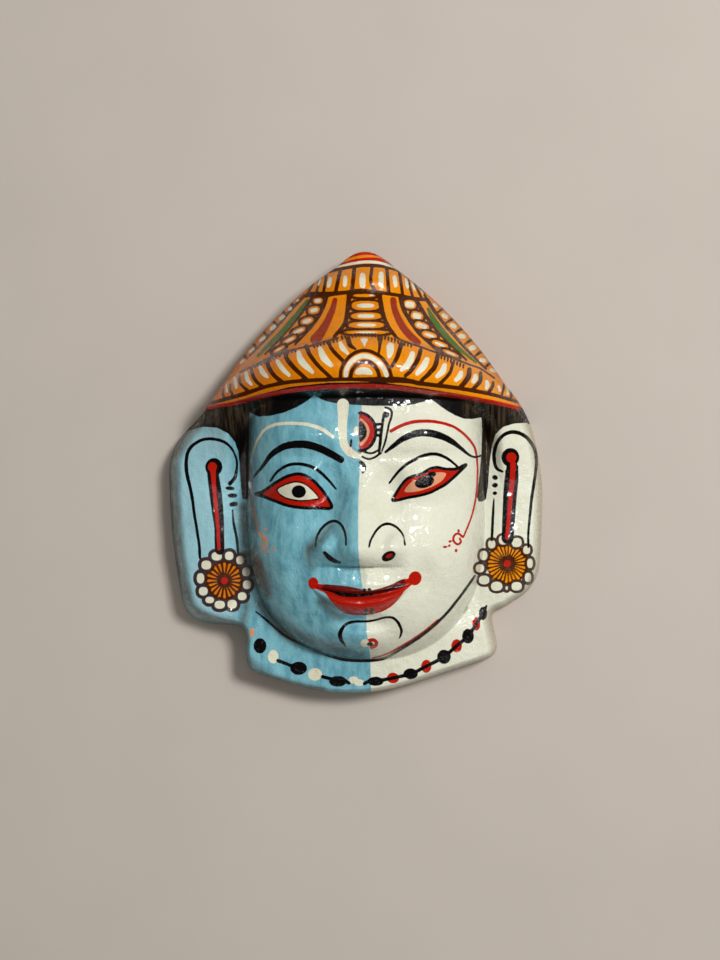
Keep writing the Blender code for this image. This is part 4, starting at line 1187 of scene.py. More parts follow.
@dataclass(frozen=True)
class WhiteHalfPaint(Area):
    """The marks on the cream-white half: half of a third eye, a hooked line, the brows, the eye."""

    third_eye_path: ClassVar[Path] = (
        (359.5, 413), (365, 414), (370, 417.4), (374, 423), (375.8, 431), (374.4, 439.6), (370.4, 446),
        (364.6, 449.6), (359.5, 450.4),
    )
    eye_path: ClassVar[Path] = (
        (393, 500.6), (396.6, 492.6), (401.4, 485), (406, 479.8), (412, 476.4), (418, 475.2), (424, 472.4),
        (430, 468.8), (437, 467.4), (446, 469), (456, 468.8), (466, 464.6), (460, 471.4), (453, 478),
        (446, 484), (438, 488.6), (430, 492.6), (420, 495.4), (408, 497.6),
    )
    third_eye: Patch = Patch(RED, third_eye_path)
    third_eye_pink: Patch = Patch(PINK, (
        (359.5, 419.6), (364.4, 421.4), (368.2, 426), (369.4, 431.4), (368, 437.4), (364.6, 442.4),
        (359.5, 444.6),
    ))
    third_eye_black: Patch = Patch(BLACK, (
        (359.5, 422), (364, 424), (366.8, 430.6), (365.6, 437), (362.4, 440.6), (359.5, 441),
    ))
    third_eye_line: Stroke = Stroke(BLACK, third_eye_path, (2.8,))
    bars: Parts = alike(BLACK, (2.6,), (
        ((375.5, 424.5), (381, 424)), ((376.5, 430), (381, 429.6)), ((376, 435.5), (381, 435.2)),
    ))
    staff: Stroke = Stroke(BLACK, ((383.6, 415), (382.4, 424), (381, 434), (380, 444), (379, 452)), (
        2.4, 2.8, 3.0, 2.6,
    ))
    staff_dot: Spot = Spot(BLACK, (386, 414.4), (6.4, 6.4))
    hook: Stroke = Stroke(BLACK, (
        (385, 407.4), (389, 408.4), (391.8, 412), (391, 418), (389, 424), (387.4, 432), (385.4, 441),
        (382, 451),
    ), (1.8, 2.4, 2.2, 1.8, 1.8))
    eyelid_lines: Parts = alike(BLACK, (1.8, 2.2, 1.8), (
        ((360.5, 450), (366, 452.4), (372, 453.2), (378, 450.4)),
        ((362, 456.6), (368, 459), (374, 457.6), (381, 453)),
    ))
    root_curl: Stroke = Stroke(BLACK, ((360.5, 462), (363.6, 465), (364.2, 469), (362.6, 472.6)), (
        3.4, 4.0, 2.0,
    ))
    red_brow: Stroke = Stroke(RED, (
        (391, 431), (397.5, 427.4), (405, 424.2), (413, 422), (421, 421.2), (430, 421.2), (439, 422.4),
        (448, 424.6), (456, 428), (465, 435), (471.6, 442.6), (475.4, 449.6), (477, 460), (477.6, 472),
        (477, 487), (475.6, 499.5), (473, 511.5), (469, 523.5), (463.5, 536.5),
    ), (3.2, 3.2, 3.0, 2.6, 2.2, 1.8, 1.6, 1.6))
    curl: Stroke = Stroke(RED, (
        (463, 537), (458, 533.6), (454, 536), (453.6, 541), (457.6, 544.4), (461, 542), (459.6, 538.6),
    ), (2.0,))
    curl_dots: Parts = spots(RED, (
        (445, 547, 4.2, 2.4, 0), (450, 541.5, 2.8, 2.4, 0), (456, 550.6, 2.8, 3.6, 0),
        (458.6, 530.8, 2.4, 3.0, 0), (449.4, 545.6, 2.4, 2.4, 0),
    ))
    brow: Stroke = Stroke(BLACK, (
        (385.5, 452), (389, 449.4), (394, 445.4), (401, 440), (407, 436.8), (414, 434), (420, 433),
        (426.5, 432.8), (433, 433.8), (439, 435.4), (445.6, 438), (452, 441.6), (457, 445.2), (462, 449.2),
        (466.6, 453), (471, 456), (476, 457), (481, 455.6),
    ), (2.4, 3.6, 5.4, 6.6, 7.2, 7.2, 6.8, 5.6, 4.0, 2.6, 2.0, 1.6))
    lid: Stroke = Stroke(BLACK, (
        (389.5, 483), (395, 475.6), (401, 469), (407.4, 463.8), (414, 460), (420, 456.8), (426.5, 454.8),
        (432, 454), (438, 454.4), (443.6, 456.6), (449, 459.6), (457, 466),
    ), (2.0, 2.8, 3.0, 3.2, 3.0, 2.0))
    eye: Patch = Patch(RED, eye_path)
    sclera: Patch = Patch(PINK, (
        (404.6, 491.4), (408.4, 485.2), (413.6, 480.6), (421, 479), (430, 474.4), (438, 472.4),
        (445.6, 473.4), (443.6, 478.6), (438.6, 483), (431, 487), (421, 490.4), (412, 492),
    ))
    eye_line: Stroke = Stroke(BLACK, eye_path, (2.8,), closed=True)
    iris: Spot = Spot(BLACK, (424.4, 482), (19.5, 11.5), -16.0)
    iris_tail: Spot = Spot(BLACK, (431.4, 474.6), (9.0, 5.4), -14.0)
    wing_line: Stroke = Stroke(BLACK, (
        (369, 547), (370.4, 541), (373.5, 535), (377.6, 529), (383, 524.8), (389, 523.8), (395, 526.2),
        (400, 530.6), (403.6, 536.6), (405, 545),
    ), (1.6, 2.2, 2.6, 2.2, 1.6))
    nostril: Spot = Spot(BLACK, (388.6, 556.2), (14.5, 9.0), -28.0)
    nostril_red: Spot = Spot(RED_OVER, (389, 555.8), (10.0, 5.0), -28.0)


@dataclass(frozen=True)
class MouthPaint(Area):
    """The red lips with a ball at each corner and painted shade on the upper lip, the chin's curve and the
    mark on the chin.
    """

    upper_edge: ClassVar[Path] = (
        (316, 584), (324, 584.6), (332.5, 585), (347.5, 586.4), (357.5, 588.4), (366.3, 590.6),
        (372.5, 590), (382.5, 587.8), (392.5, 584.2), (402.5, 579.4), (407.5, 579), (412, 577),
    )
    lower_edge: ClassVar[Path] = (
        (414, 582), (408, 588), (404.6, 591), (398.8, 598.8), (391.3, 606.3), (382.5, 611.3),
        (373.8, 613.8), (365, 615), (355, 615), (345, 613), (337.5, 608), (331.3, 601.3), (325, 593),
        (318.8, 590), (314, 588),
    )
    meeting: ClassVar[Path] = (
        (322.5, 588.5), (332.5, 591.3), (341.3, 594.4), (352.5, 595.6), (365, 595), (376.3, 592.8),
        (387.5, 590), (397.5, 587), (405, 585),
    )
    lips: Patch = Patch(RED, upper_edge + lower_edge)
    # painted shade over the upper lip, which faces down
    shade: Patch = Patch(SHADE, upper_edge[1:-2] + meeting[::-1])
    left_ball: Spot = Spot(RED, (313.2, 583.2), (9.6, 11.6))
    right_ball: Spot = Spot(RED, (415, 578.3), (12.6, 14.0), 20.0)
    line: Stroke = Stroke(BLACK, meeting, (1.4, 2.4, 3.2, 2.8, 2.4, 2.4, 2.6, 2.6, 1.6))
    dots: Parts = spots(BLACK, (
        (364.4, 590.2, 4.0, 3.4, 0), (369.4, 589.8, 4.0, 3.4, 0), (366.0, 611.8, 4.0, 6.0, 0),
        (371.6, 611.2, 4.0, 6.4, 0),
    ))
    chin_curve: Stroke = Stroke(BLACK, (
        (345.6, 646.3), (341.3, 640), (340, 633.8), (343, 627.5), (348.8, 622.9), (357.5, 621.5),
        (367.5, 621.3), (376.3, 619.8), (385, 617.5), (392.5, 617.7), (398, 622.5), (401.3, 630),
        (400.8, 635), (399.4, 638),
    ), (1.2, 3.4, 4.0, 3.2, 2.8, 2.2, 2.0, 1.9, 2.0, 2.3, 2.7, 2.6, 2.0, 1.0))
    chin_cream: Spot = Spot(CREAM, (364.8, 643.2), (9.4, 9.0))
    chin_red: Stroke = Stroke(RED, (
        (368.8, 640.8), (373.4, 640), (376.6, 642.6), (375, 646), (371.3, 647.2),
    ), (3.4,))
    chin_black: Spot = Spot(BLACK, (370, 644), (6.0, 3.6))
    jaw: Stroke = Stroke(BLACK, (
        (255.8, 611.7), (262, 616.4), (268.3, 621.7), (275, 627.5), (281.7, 633.3), (288, 637.2),
        (295, 640.8), (307.5, 646.4), (320, 651.9), (332.5, 656.7), (345, 659.8), (357.5, 660.7),
        (370, 660.6), (381.3, 659.2), (390, 655.6), (401.3, 648.8), (413.8, 641), (426.3, 632), (438, 622),
        (449, 610.6), (457, 600.6), (465, 590), (475, 575.8),
    ), (1.4, 2.4, 2.6, 2.8, 3.0, 2.8, 2.8, 3.0, 2.8, 2.6, 2.4))
    jaw_red: Stroke = Stroke(RED, (
        (372.5, 658), (381, 656), (388.8, 653), (401.3, 646.2), (413.8, 638.6), (426.3, 629.6),
        (438, 619.6),
    ), (1.4, 1.8, 1.4))


@dataclass(frozen=True)
class NecklacePaint:
    """The string of beads on the neck: black and cream on the blue half, black and red on the white."""

    beads: tuple[tuple[Pigment, float, float, float, float], ...] = (
        (BLACK, 260, 645.8, 12.5, 15),
        (CREAM, 273.3, 656.7, 11.5, 14.5),
        (BLACK, 298.6, 668.3, 16.5, 13),
        (CREAM, 315, 674.4, 15, 13.5),
        (BLACK, 338, 681.3, 17.5, 10.4),
        (CREAM, 353.4, 680, 11, 8),
        (CREAM, 359.2, 682.6, 12, 7.4),
        (BLACK, 375.6, 681.3, 16, 9),
        (RED, 393, 678, 12, 10.4),
        (BLACK, 410.6, 673.8, 14, 10.6),
        (RED, 426.3, 666.3, 10, 13),
        (BLACK, 444, 656.8, 13.5, 14),
        (RED, 456.6, 645.8, 10.5, 13),
        (BLACK, 468, 636.2, 11.5, 14.5),
        (RED, 476.3, 623.8, 8, 13),
        (BLACK, 483, 613.4, 8, 13),
    )
    stub: Spot = Spot(PINK, (252, 632.6), (4.6, 9.0), 14.0)
    tail: Path = ((484, 610), (486.7, 605.6))
    cord_width: float = 3.4

    def marks(self) -> Iterator[Mark]:
        """The cord from bead to bead, then the beads."""
        places = tuple((x, y) for _, x, y, _, _ in self.beads)
        yield Stroke(BLACK, ((322.6, 676.8), (330, 678.6)), (self.cord_width,))
        yield Stroke(BLACK, ((345, 680.6), (348.8, 683)), (self.cord_width,))
        yield Stroke(BLACK, ((364.6, 683.4), (369, 681.2)), (self.cord_width,))
        yield Stroke(BLACK, places[7:], (self.cord_width,))
        yield Stroke(BLACK, ((278, 660.6), (291, 665.6)), (self.cord_width,))
        yield Stroke(BLACK, self.tail, (4.0, 1.4))
        yield self.stub
        for pigment, x, y, width, height in self.beads:
            yield Spot(pigment, (x, y), (width, height))


@dataclass(frozen=True)
class EarPaint:
    """One ear: its hooked outline, the red stripe with black edges, and the small dashes beside it."""

    outline: Path
    outline_widths: Widths
    inner_line: Path
    dashes: tuple[Spot, ...]
    stripe: Path
    stripe_widths: Widths
    stripe_head: Spot
    red: Path
    red_widths: Widths
    head_red: Spot

    def marks(self) -> Iterator[Mark]:
        """The ear's marks."""
        yield Stroke(BLACK, self.outline, self.outline_widths)
        yield Stroke(BLACK, self.inner_line, (1.4, 2.4, 2.6, 2.6))
        yield from self.dashes
        yield self.stripe_head
        yield self.head_red
        yield Stroke(BLACK, self.stripe, self.stripe_widths)
        yield Stroke(RED_OVER, self.red, self.red_widths)


@dataclass(frozen=True)
class RosettePaint:
    """An ear ornament: a rayed orange disc in a ring of cream pearls with dark outlines."""

    centre: Point
    disc_radius: float
    pearls: tuple[tuple[float, float, float, float], ...]
    pearl_outline: float
    rays: int
    ray_widths: Widths
    ray_start: float = 0.42
    ray_end: float = 0.94
    middle: float = 8.4
    pearl_squareness: float = 2.4

    def marks(self) -> Iterator[Mark]:
        """The dark disc, the rays wiped free in it, the red middle and the pearls round it."""
        x, y = self.centre
        yield Spot(ORANGE, self.centre, (2 * self.disc_radius + 2,) * 2)
        yield Spot(MAROON, self.centre, (2 * self.disc_radius + 2,) * 2)
        start, end = self.ray_start * self.disc_radius, self.ray_end * self.disc_radius
        for turn in np.linspace(0.0, 2.0 * np.pi, self.rays, endpoint=False):
            across, down = float(np.cos(turn)), float(np.sin(turn))
            inner = (x + start * across, y + start * down)
            outer = (x + end * across, y + end * down)
            yield Stroke(MAROON, (inner, outer), self.ray_widths, wipe=True)
        yield Spot(RED_OVER, self.centre, (self.middle, self.middle))
        for pearl_x, pearl_y, width, height in self.pearls:
            outline = (width + 2 * self.pearl_outline, height + 2 * self.pearl_outline)
            yield Spot(MAROON, (pearl_x, pearl_y), outline, 0.0, 2.2)
        for pearl_x, pearl_y, width, height in self.pearls:
            place, size, wider = (pearl_x, pearl_y), (width, height), (width + 2.0, height + 2.0)
            yield Spot(MAROON, place, size, 0.0, self.pearl_squareness, wipe=True)
            yield Spot(ORANGE, place, wider, 0.0, self.pearl_squareness, wipe=True)
            yield Spot(CREAM, place, size, 0.0, self.pearl_squareness)


@dataclass(frozen=True)
class MaskPaint(Area):
    """Every mark of the brush on the mask."""

    hat: HatPaint = HatPaint()
    band: BandPaint = BandPaint()
    hair: HairPaint = HairPaint()
    blue_half: BlueHalfPaint = BlueHalfPaint()
    white_half: WhiteHalfPaint = WhiteHalfPaint()
    mouth: MouthPaint = MouthPaint()
    necklace: NecklacePaint = NecklacePaint()
    left_ear: EarPaint = EarPaint(
        outline=(
            (230, 483.3), (233.6, 479.6), (235.8, 475), (237, 463.3), (235, 455), (230.8, 447.5),
            (224.2, 442), (215, 439.2), (205, 439.2), (196.7, 442.5), (190, 448.3), (186.7, 456.7),
            (186.2, 466.7), (187.5, 476.7), (190, 486.7), (192.5, 500), (194.2, 513.3), (196.7, 528.3),
            (199.2, 545), (200, 558),
        ),
        outline_widths=(4.0, 3.2, 2.2, 2.2, 3.0, 3.0, 3.0, 3.4, 3.6, 3.0, 2.8, 2.6, 2.6),
        inner_line=((232.5, 510), (233.7, 523.3), (236.7, 538.3), (238, 552)),
        dashes=(
            Spot(BLACK, (230, 488.4), (9.0, 3.4), 4.0, 2.4),
            Spot(BLACK, (232.4, 495.6), (9.0, 4.2), 2.0, 2.4),
            Spot(BLACK, (233.6, 504.2), (8.0, 4.6), -8.0, 2.4),
        ),
        stripe=((212.6, 472), (214.6, 486), (216.4, 500), (218, 515), (219.2, 527), (219.6, 550)),
        stripe_widths=(11.0, 12.0, 12.0, 11.0, 9.8, 9.4),
        stripe_head=Spot(BLACK, (213.8, 467), (17.0, 17.6)),
        red=((213, 471), (214, 486), (215.4, 500), (216.8, 515), (218.2, 530), (218.8, 549)),
        red_widths=(7.0, 5.4, 5.0, 4.8, 4.6, 4.4),
        head_red=Spot(RED_OVER, (212.4, 467), (10.4, 11.0)),
    )
    right_ear: EarPaint = EarPaint(
        outline=(
            (502.5, 471.7), (496.7, 468.3), (494.2, 460), (494.7, 450), (498.3, 440.8), (505, 434.2),
            (513.3, 432), (521.7, 434.2), (528.3, 439.2), (534.2, 448.3), (536.3, 458.3), (535.8, 470),
            (534.2, 481.7), (531.7, 498.3), (530, 515), (528.3, 533.3), (528.3, 547),
        ),
        outline_widths=(2.0, 3.2, 3.6, 3.4, 3.2, 3.6, 3.6, 3.4, 3.2, 3.0, 2.8, 3.0, 2.6, 2.2, 2.2),
        inner_line=((493.8, 499), (493.2, 511.7), (492.5, 525), (491.8, 540)),
        dashes=(
            Spot(BLACK, (495, 477.5), (5.6, 4.6), 20.0),
            Spot(BLACK, (495, 485.2), (5.6, 4.6), -10.0),
            Spot(BLACK, (494.8, 493.2), (4.4, 3.6), -10.0),
            Spot(BLACK, (507.6, 471.6), (5.0, 4.4)),
            Spot(BLACK, (507.8, 476.6), (5.0, 4.4)),
        ),
        stripe=((512.4, 468), (511.4, 480), (510, 495), (508.8, 515), (507.6, 538)),
        stripe_widths=(12.0, 13.6, 13.4, 12.6, 12.0),
        stripe_head=Spot(BLACK, (510.4, 457.4), (17.6, 18.4)),
        red=((513.2, 464), (512.4, 478), (510.8, 495), (509, 515), (507, 538)),
        red_widths=(7.0, 6.4, 5.8, 5.4, 5.0),
        head_red=Spot(RED_OVER, (511.4, 457.6), (11.6, 11.6)),
    )
    left_rosette: RosettePaint = RosettePaint(
        centre=(224.5, 580.6),
        disc_radius=18.0,
        pearls=(
            (216.7, 556.3, 11, 9), (229.2, 555.8, 9, 9), (240, 560.2, 8, 9), (246.2, 571.8, 8.4, 9.6),
            (247, 584.7, 8.6, 9.4), (242.2, 596.3, 9.4, 8.6), (232.2, 604.2, 10, 9.4),
            (219.7, 604.7, 11, 8.6), (209.7, 600, 9.4, 7), (203.3, 591.2, 9.4, 9), (200.5, 578.3, 8, 11),
            (206.3, 565, 10.4, 9.6),
        ),
        pearl_outline=3.0,
        rays=20,
        ray_widths=(1.2, 3.4),
    )
    right_rosette: RosettePaint = RosettePaint(
        centre=(507.4, 563.6),
        disc_radius=19.6,
        pearls=(
            (503.3, 540, 9.6, 9.6), (516.7, 542.5, 10.4, 9.6), (526.7, 550, 7.6, 8.6),
            (530, 563.3, 6.2, 10.4), (528, 577.5, 7, 10), (516.7, 586.3, 11, 9), (506.7, 588, 3, 5),
            (496.7, 586.3, 12, 9.6), (484.2, 580, 11, 9.2), (480, 568.3, 9, 8.8), (483.7, 555.5, 8, 10),
            (491.7, 544.2, 7.8, 9),
        ),
        pearl_outline=2.2,
        rays=27,
        ray_widths=(1.1, 3.2),
    )

    def lay_on(self, px: Array, py: Array, scale: float) -> dict[Pigment, Array]:
        """Lays every mark on the surface.

        Args:
            px: The pixel column of each place on the surface.
            py: The pixel row of each place.
            scale: Millimetres to a pixel.

        Returns:
            For each pigment, how many millimetres each place is inside the edge of its marks, and minus
            that outside, with no more than the paint's reach either way.
        """
        cover = {pigment: np.full(px.shape, -PAINT_REACH) for pigment in Pigment}
        for mark in self.marks():
            low, high = mark.box
            low, high = low - PAINT_REACH, high + PAINT_REACH
            near = (px > low[0]) & (px < high[0]) & (py > low[1]) & (py < high[1])
            layer = cover[mark.pigment]
            inside = mark.cover(px[near], py[near])
            layer[near] = np.minimum(layer[near], -inside) if mark.wipe else np.maximum(layer[near], inside)
        held = {pigment: np.clip(layer, -PAINT_REACH, PAINT_REACH) for pigment, layer in cover.items()}
        return {pigment: layer * scale for pigment, layer in held.items()}


class Wire:
    """A socket of a material's nodes. Sums and products of wires add the Math nodes that work them out."""

    def __init__(self, nodes: "NodeKit", socket: bpy.types.NodeSocket) -> None:
        """Wraps a socket of these nodes."""
        self.nodes = nodes
        self.socket = socket

    def __add__(self, other: "Wire | float") -> "Wire":
        """Self plus other."""
        return self.nodes.math("ADD", self, other)

    def __radd__(self, other: float) -> "Wire":
        """Other plus self."""
        return self.nodes.math("ADD", other, self)

    def __sub__(self, other: "Wire | float") -> "Wire":
        """Self less other."""
        return self.nodes.math("SUBTRACT", self, other)

    def __rsub__(self, other: float) -> "Wire":
        """Other less self."""
        return self.nodes.math("SUBTRACT", other, self)

    def __mul__(self, other: "Wire | float") -> "Wire":
        """Self times other."""
        return self.nodes.math("MULTIPLY", self, other)

    def __rmul__(self, other: float) -> "Wire":
        """Other times self."""
        return self.nodes.math("MULTIPLY", other, self)


Colour = tuple[int, int, int]


def linear(red: int, green: int, blue: int) -> tuple[float, float, float, float]:
    """A colour as light: each part of 255, taken out of the screen's own curve."""
    parts = np.array([red, green, blue]) / 255.0
    light = np.where(parts <= 0.04045, parts / 12.92, ((parts + 0.055) / 1.055) ** 2.4)
    return (*(float(part) for part in light), 1.0)


class NodeKit:
    """The nodes of one material."""

    def __init__(self, name: str) -> None:
        """Starts a material of this name with its Principled shader."""
        self.material = bpy.data.materials.new(name)
        self.material.use_nodes = True
        self.tree = self.material.node_tree
        self.shader = self.tree.nodes["Principled BSDF"]
        self.place = self.add("ShaderNodeTexCoord", output="Object")

    def add(
        self,
        kind: str,
        settings: dict[str, Any] | None = None,
        inputs: dict[str | int, Any] | None = None,
        output: str | int = 0,
    ) -> Wire:
        """Adds a node.

        Args:
            kind: The node's type.
            settings: Its own settings, set first.
            inputs: The value of, or the wire into, each named or numbered socket.
            output: The socket that comes back.

        Returns:
            The wanted output as a wire.
        """
        node = self.tree.nodes.new(kind)
        for name, value in (settings or {}).items():
            setattr(node, name, value)
        for name, value in (inputs or {}).items():
            if isinstance(value, Wire):
                self.tree.links.new(value.socket, node.inputs[name])
            else:
                node.inputs[name].default_value = value
        return Wire(self, node.outputs[output])

    def math(self, operation: str, *values: "Wire | float") -> Wire:
        """A Math node on wires and numbers."""
        return self.add("ShaderNodeMath", {"operation": operation}, dict(enumerate(values)))

    def noise(self, scale: float, detail: float = 2.0, roughness: float = 0.5, stretch: Any = None) -> Wire:
        """A noise from 0 to 1 with this many hills to a metre, along stretched axes if given."""
        place = self.place
        if stretch is not None:
            place = self.add("ShaderNodeMapping", None, {"Vector": self.place, "Scale": stretch})
        sockets = {"Vector": place, "Scale": scale, "Detail": detail, "Roughness": roughness}
        return self.add("ShaderNodeTexNoise", {"noise_dimensions": "3D"}, sockets)

    def ramp(self, value: Wire, low: float, high: float, start: float = 0.0, end: float = 1.0) -> Wire:
        """A smooth step from start to end as the value goes from low to high."""
        sockets = {"Value": value, "From Min": low, "From Max": high, "To Min": start, "To Max": end}
        return self.add("ShaderNodeMapRange", {"interpolation_type": "SMOOTHSTEP"}, sockets)

    def mix(self, below: Any, above: Any, share: Any, way: str = "MIX") -> Wire:
        """One colour over another by this share."""
        node = self.tree.nodes.new("ShaderNodeMix")
        node.data_type = "RGBA"
        node.blend_type = way
        for name, value in (("Factor_Float", share), ("A_Color", below), ("B_Color", above)):
            socket = next(one for one in node.inputs if one.identifier == name)
            if isinstance(value, Wire):
                self.tree.links.new(value.socket, socket)
            else:
                socket.default_value = value
        return Wire(self, next(one for one in node.outputs if one.identifier == "Result_Color"))

    def attribute(self, name: str) -> Wire:
        """A number that the mesh holds at each vertex."""
        return self.add("ShaderNodeAttribute", {"attribute_name": name}, output="Fac")

    def wire_up(self, **inputs: Any) -> None:
        """Sets the shader's sockets: underscores in the names stand for spaces."""
        for name, value in inputs.items():
            socket = self.shader.inputs[name.replace("_", " ")]
            if isinstance(value, Wire):
                self.tree.links.new(value.socket, socket)
            else:
                socket.default_value = value

    def bump(self, height: Wire, depth: float) -> Wire:
        """The normal of a surface with this fine relief, as many metres deep."""
        sockets = {"Strength": 1.0, "Distance": depth, "Height": height}
        return self.add("ShaderNodeBump", None, sockets, "Normal")


RIM_DEPTH = "inside_outline"


@dataclass(frozen=True)
class LacquerPaint:
    """Poster colours over a clay coat, under a thick glossy lacquer."""

    cream: Colour = (214, 216, 200)
    cream_worn: Colour = (196, 196, 168)
    blue: Colour = (122, 180, 194)
    blue_worn: Colour = (86, 146, 164)
    blue_ear: Colour = (158, 198, 208)
    orange: Colour = (222, 136, 10)
    orange_deep_and_shaded: Colour = (184, 80, 8)
    hair: Colour = (12, 10, 9)
    streak: Colour = (84, 66, 46)
    red: Colour = (172, 25, 10)
    maroon: Colour = (48, 10, 5)
    dab: Colour = (214, 213, 192)
    dab_thin: Colour = (208, 176, 146)
    pink: Colour = (206, 146, 112)
    green: Colour = (66, 98, 20)
    black: Colour = (13, 11, 12)
    speck_dirt_and_rim_darkening: Colour = (112, 98, 84)
    edge_tint: Colour = (206, 184, 158)
    lip_shade: Colour = (84, 14, 9)
    brick: Colour = (142, 44, 16)
    dusk: Colour = (72, 66, 58)
    soft_edge_reach: float = 2.5
    painted_shade_lead: float = 0.9
    edge_softness: float = 0.10
    edge_wobble: float = 0.26
    edge_lead: float = 0.06
    cream_lead: float = -0.20
    red_over_lead: float = -0.30
    maroon_lead: float = 0.14
    # where the painted shade on the hat's left side starts and where it is full
    left_shade_start_x: float = 0.030
    left_shade_full_x: float = -0.060

    def build(self) -> bpy.types.Material:
        """The lacquered paint: each pigment over the one before it, where its attribute is above zero."""
        kit = NodeKit("lacquered_paint")
        wander = (kit.noise(420.0, 2.0) - 0.5) * self.edge_wobble
        wander = wander + (kit.noise(1500.0, 1.0) - 0.5) * (0.6 * self.edge_wobble)
        cloud = kit.noise(90.0, 4.0, 0.6)
        brush = kit.noise(260.0, 3.0, 0.6, (1.0, 0.28, 1.0))
        speck = kit.noise(1900.0, 2.0, 0.6)
        covers = {pigment: self.cover(kit, pigment, wander) for pigment in Pigment}
        cream = kit.mix(linear(*self.cream), linear(*self.cream_worn), kit.ramp(cloud, 0.45, 0.85, 0.0, 0.55))
        blue = kit.mix(linear(*self.blue), linear(*self.blue_worn), kit.ramp(brush, 0.35, 0.75))
        aside = kit.add("ShaderNodeSeparateXYZ", None, {0: kit.place}, 0)
        blue = kit.mix(blue, linear(*self.blue_ear), kit.ramp(aside, -0.048, -0.058, 0.0, 0.7))
        colour = kit.mix(cream, blue, covers[BLUE])
        # the orange deepens at random, and as painted shade towards the hat's left side, away from the light
        deep_and_left_shade = kit.ramp(brush, 0.45, 0.9, 0.0, 0.5)
        deep_and_left_shade = deep_and_left_shade + kit.ramp(aside, self.left_shade_start_x, self.left_shade_full_x, 0.0, 0.5)
        orange = kit.mix(linear(*self.orange), linear(*self.orange_deep_and_shaded), deep_and_left_shade)
        colour = kit.mix(colour, orange, covers[ORANGE])
        colour = kit.mix(colour, linear(*self.hair), covers[HAIR])
        hairs = kit.noise(900.0, 2.0, 0.6, (1.0, 0.06, 0.06))
        streaks = covers[STREAK] * covers[HAIR] * kit.ramp(hairs, 0.40, 0.66)
        colour = kit.mix(colour, linear(*self.streak), streaks * 0.62)
        colour = kit.mix(colour, linear(*self.red), covers[RED])
        # painted shade darkens the upper lip
        colour = kit.mix(colour, linear(*self.lip_shade), covers[SHADE] * 0.9)
        colour = kit.mix(colour, linear(*self.brick), covers[BRICK])
        colour = kit.mix(colour, linear(*self.maroon), covers[MAROON] * 0.96)
        dab = kit.mix(linear(*self.dab), linear(*self.dab_thin), kit.ramp(brush, 0.5, 0.8, 0.0, 0.7))
        colour = kit.mix(colour, dab, covers[CREAM])
        colour = kit.mix(colour, linear(*self.pink), covers[PINK])
        colour = kit.mix(colour, linear(*self.green), covers[GREEN])
        colour = kit.mix(colour, linear(*self.black), covers[BLACK])
        colour = kit.mix(colour, linear(*self.red), covers[RED_OVER])
        # painted shade over all other paint, broken up by noise
        painted_shade_noise = kit.noise(120.0, 4.0, 0.6)
        painted_shade_share = covers[DUSK] * kit.ramp(painted_shade_noise, 0.25, 0.7, 0.5, 0.9)
        colour = kit.mix(colour, linear(*self.dusk), painted_shade_share)
        # the skirt grows browner towards the rim's edge, broken up by noise; small dark specks follow
        rim = kit.attribute(RIM_DEPTH) + (cloud - 0.5) * 3.0
        speck_dirt_and_rim_darkening = kit.ramp(rim, 3.4, 0.3) * kit.ramp(brush, 0.15, 0.7, 0.4, 0.8)
        colour = kit.mix(colour, linear(*self.edge_tint), speck_dirt_and_rim_darkening, "MULTIPLY")
        pits = kit.ramp(speck, 0.66, 0.74, 0.0, 0.35) * kit.ramp(cloud, 0.4, 0.7)
        colour = kit.mix(colour, linear(*self.speck_dirt_and_rim_darkening), pits)
        relief = kit.noise(330.0, 3.0, 0.55) + 0.6 * kit.noise(1300.0, 2.0, 0.5)
        flat = kit.ramp(kit.attribute(RIM_DEPTH), 7.0, 1.5, 0.0, 0.5) + 0.3 * covers[HAIR]
        kit.wire_up(
            Base_Color=colour,
            Roughness=kit.ramp(cloud, 0.3, 0.8, 0.07, 0.12) + flat,
            Normal=kit.bump(relief, 0.00042),
            Specular_IOR_Level=0.13,
            Coat_Weight=kit.ramp(kit.noise(700.0, 2.0, 0.5), 0.5, 0.57, 0.0, 0.6),
            Coat_Roughness=0.05,
        )
        return kit.material

    def cover(self, kit: NodeKit, pigment: Pigment, wander: Wire) -> Wire:
        """1 where the pigment is, 0 where it isn't, with an edge that wanders a little."""
        leads = {
            CREAM: self.cream_lead,
            RED_OVER: self.red_over_lead,
            MAROON: self.maroon_lead,
        }
        depth = kit.attribute(pigment.value) + wander + leads.get(pigment, self.edge_lead)
        if pigment is STREAK:
            return kit.ramp(depth, -self.soft_edge_reach, self.soft_edge_reach)
        # the painted shade fades over a wide soft edge
        if pigment is DUSK:
            return kit.ramp(depth + self.painted_shade_lead, -self.soft_edge_reach, self.soft_edge_reach)
        return kit.ramp(depth, -self.edge_softness, self.edge_softness)


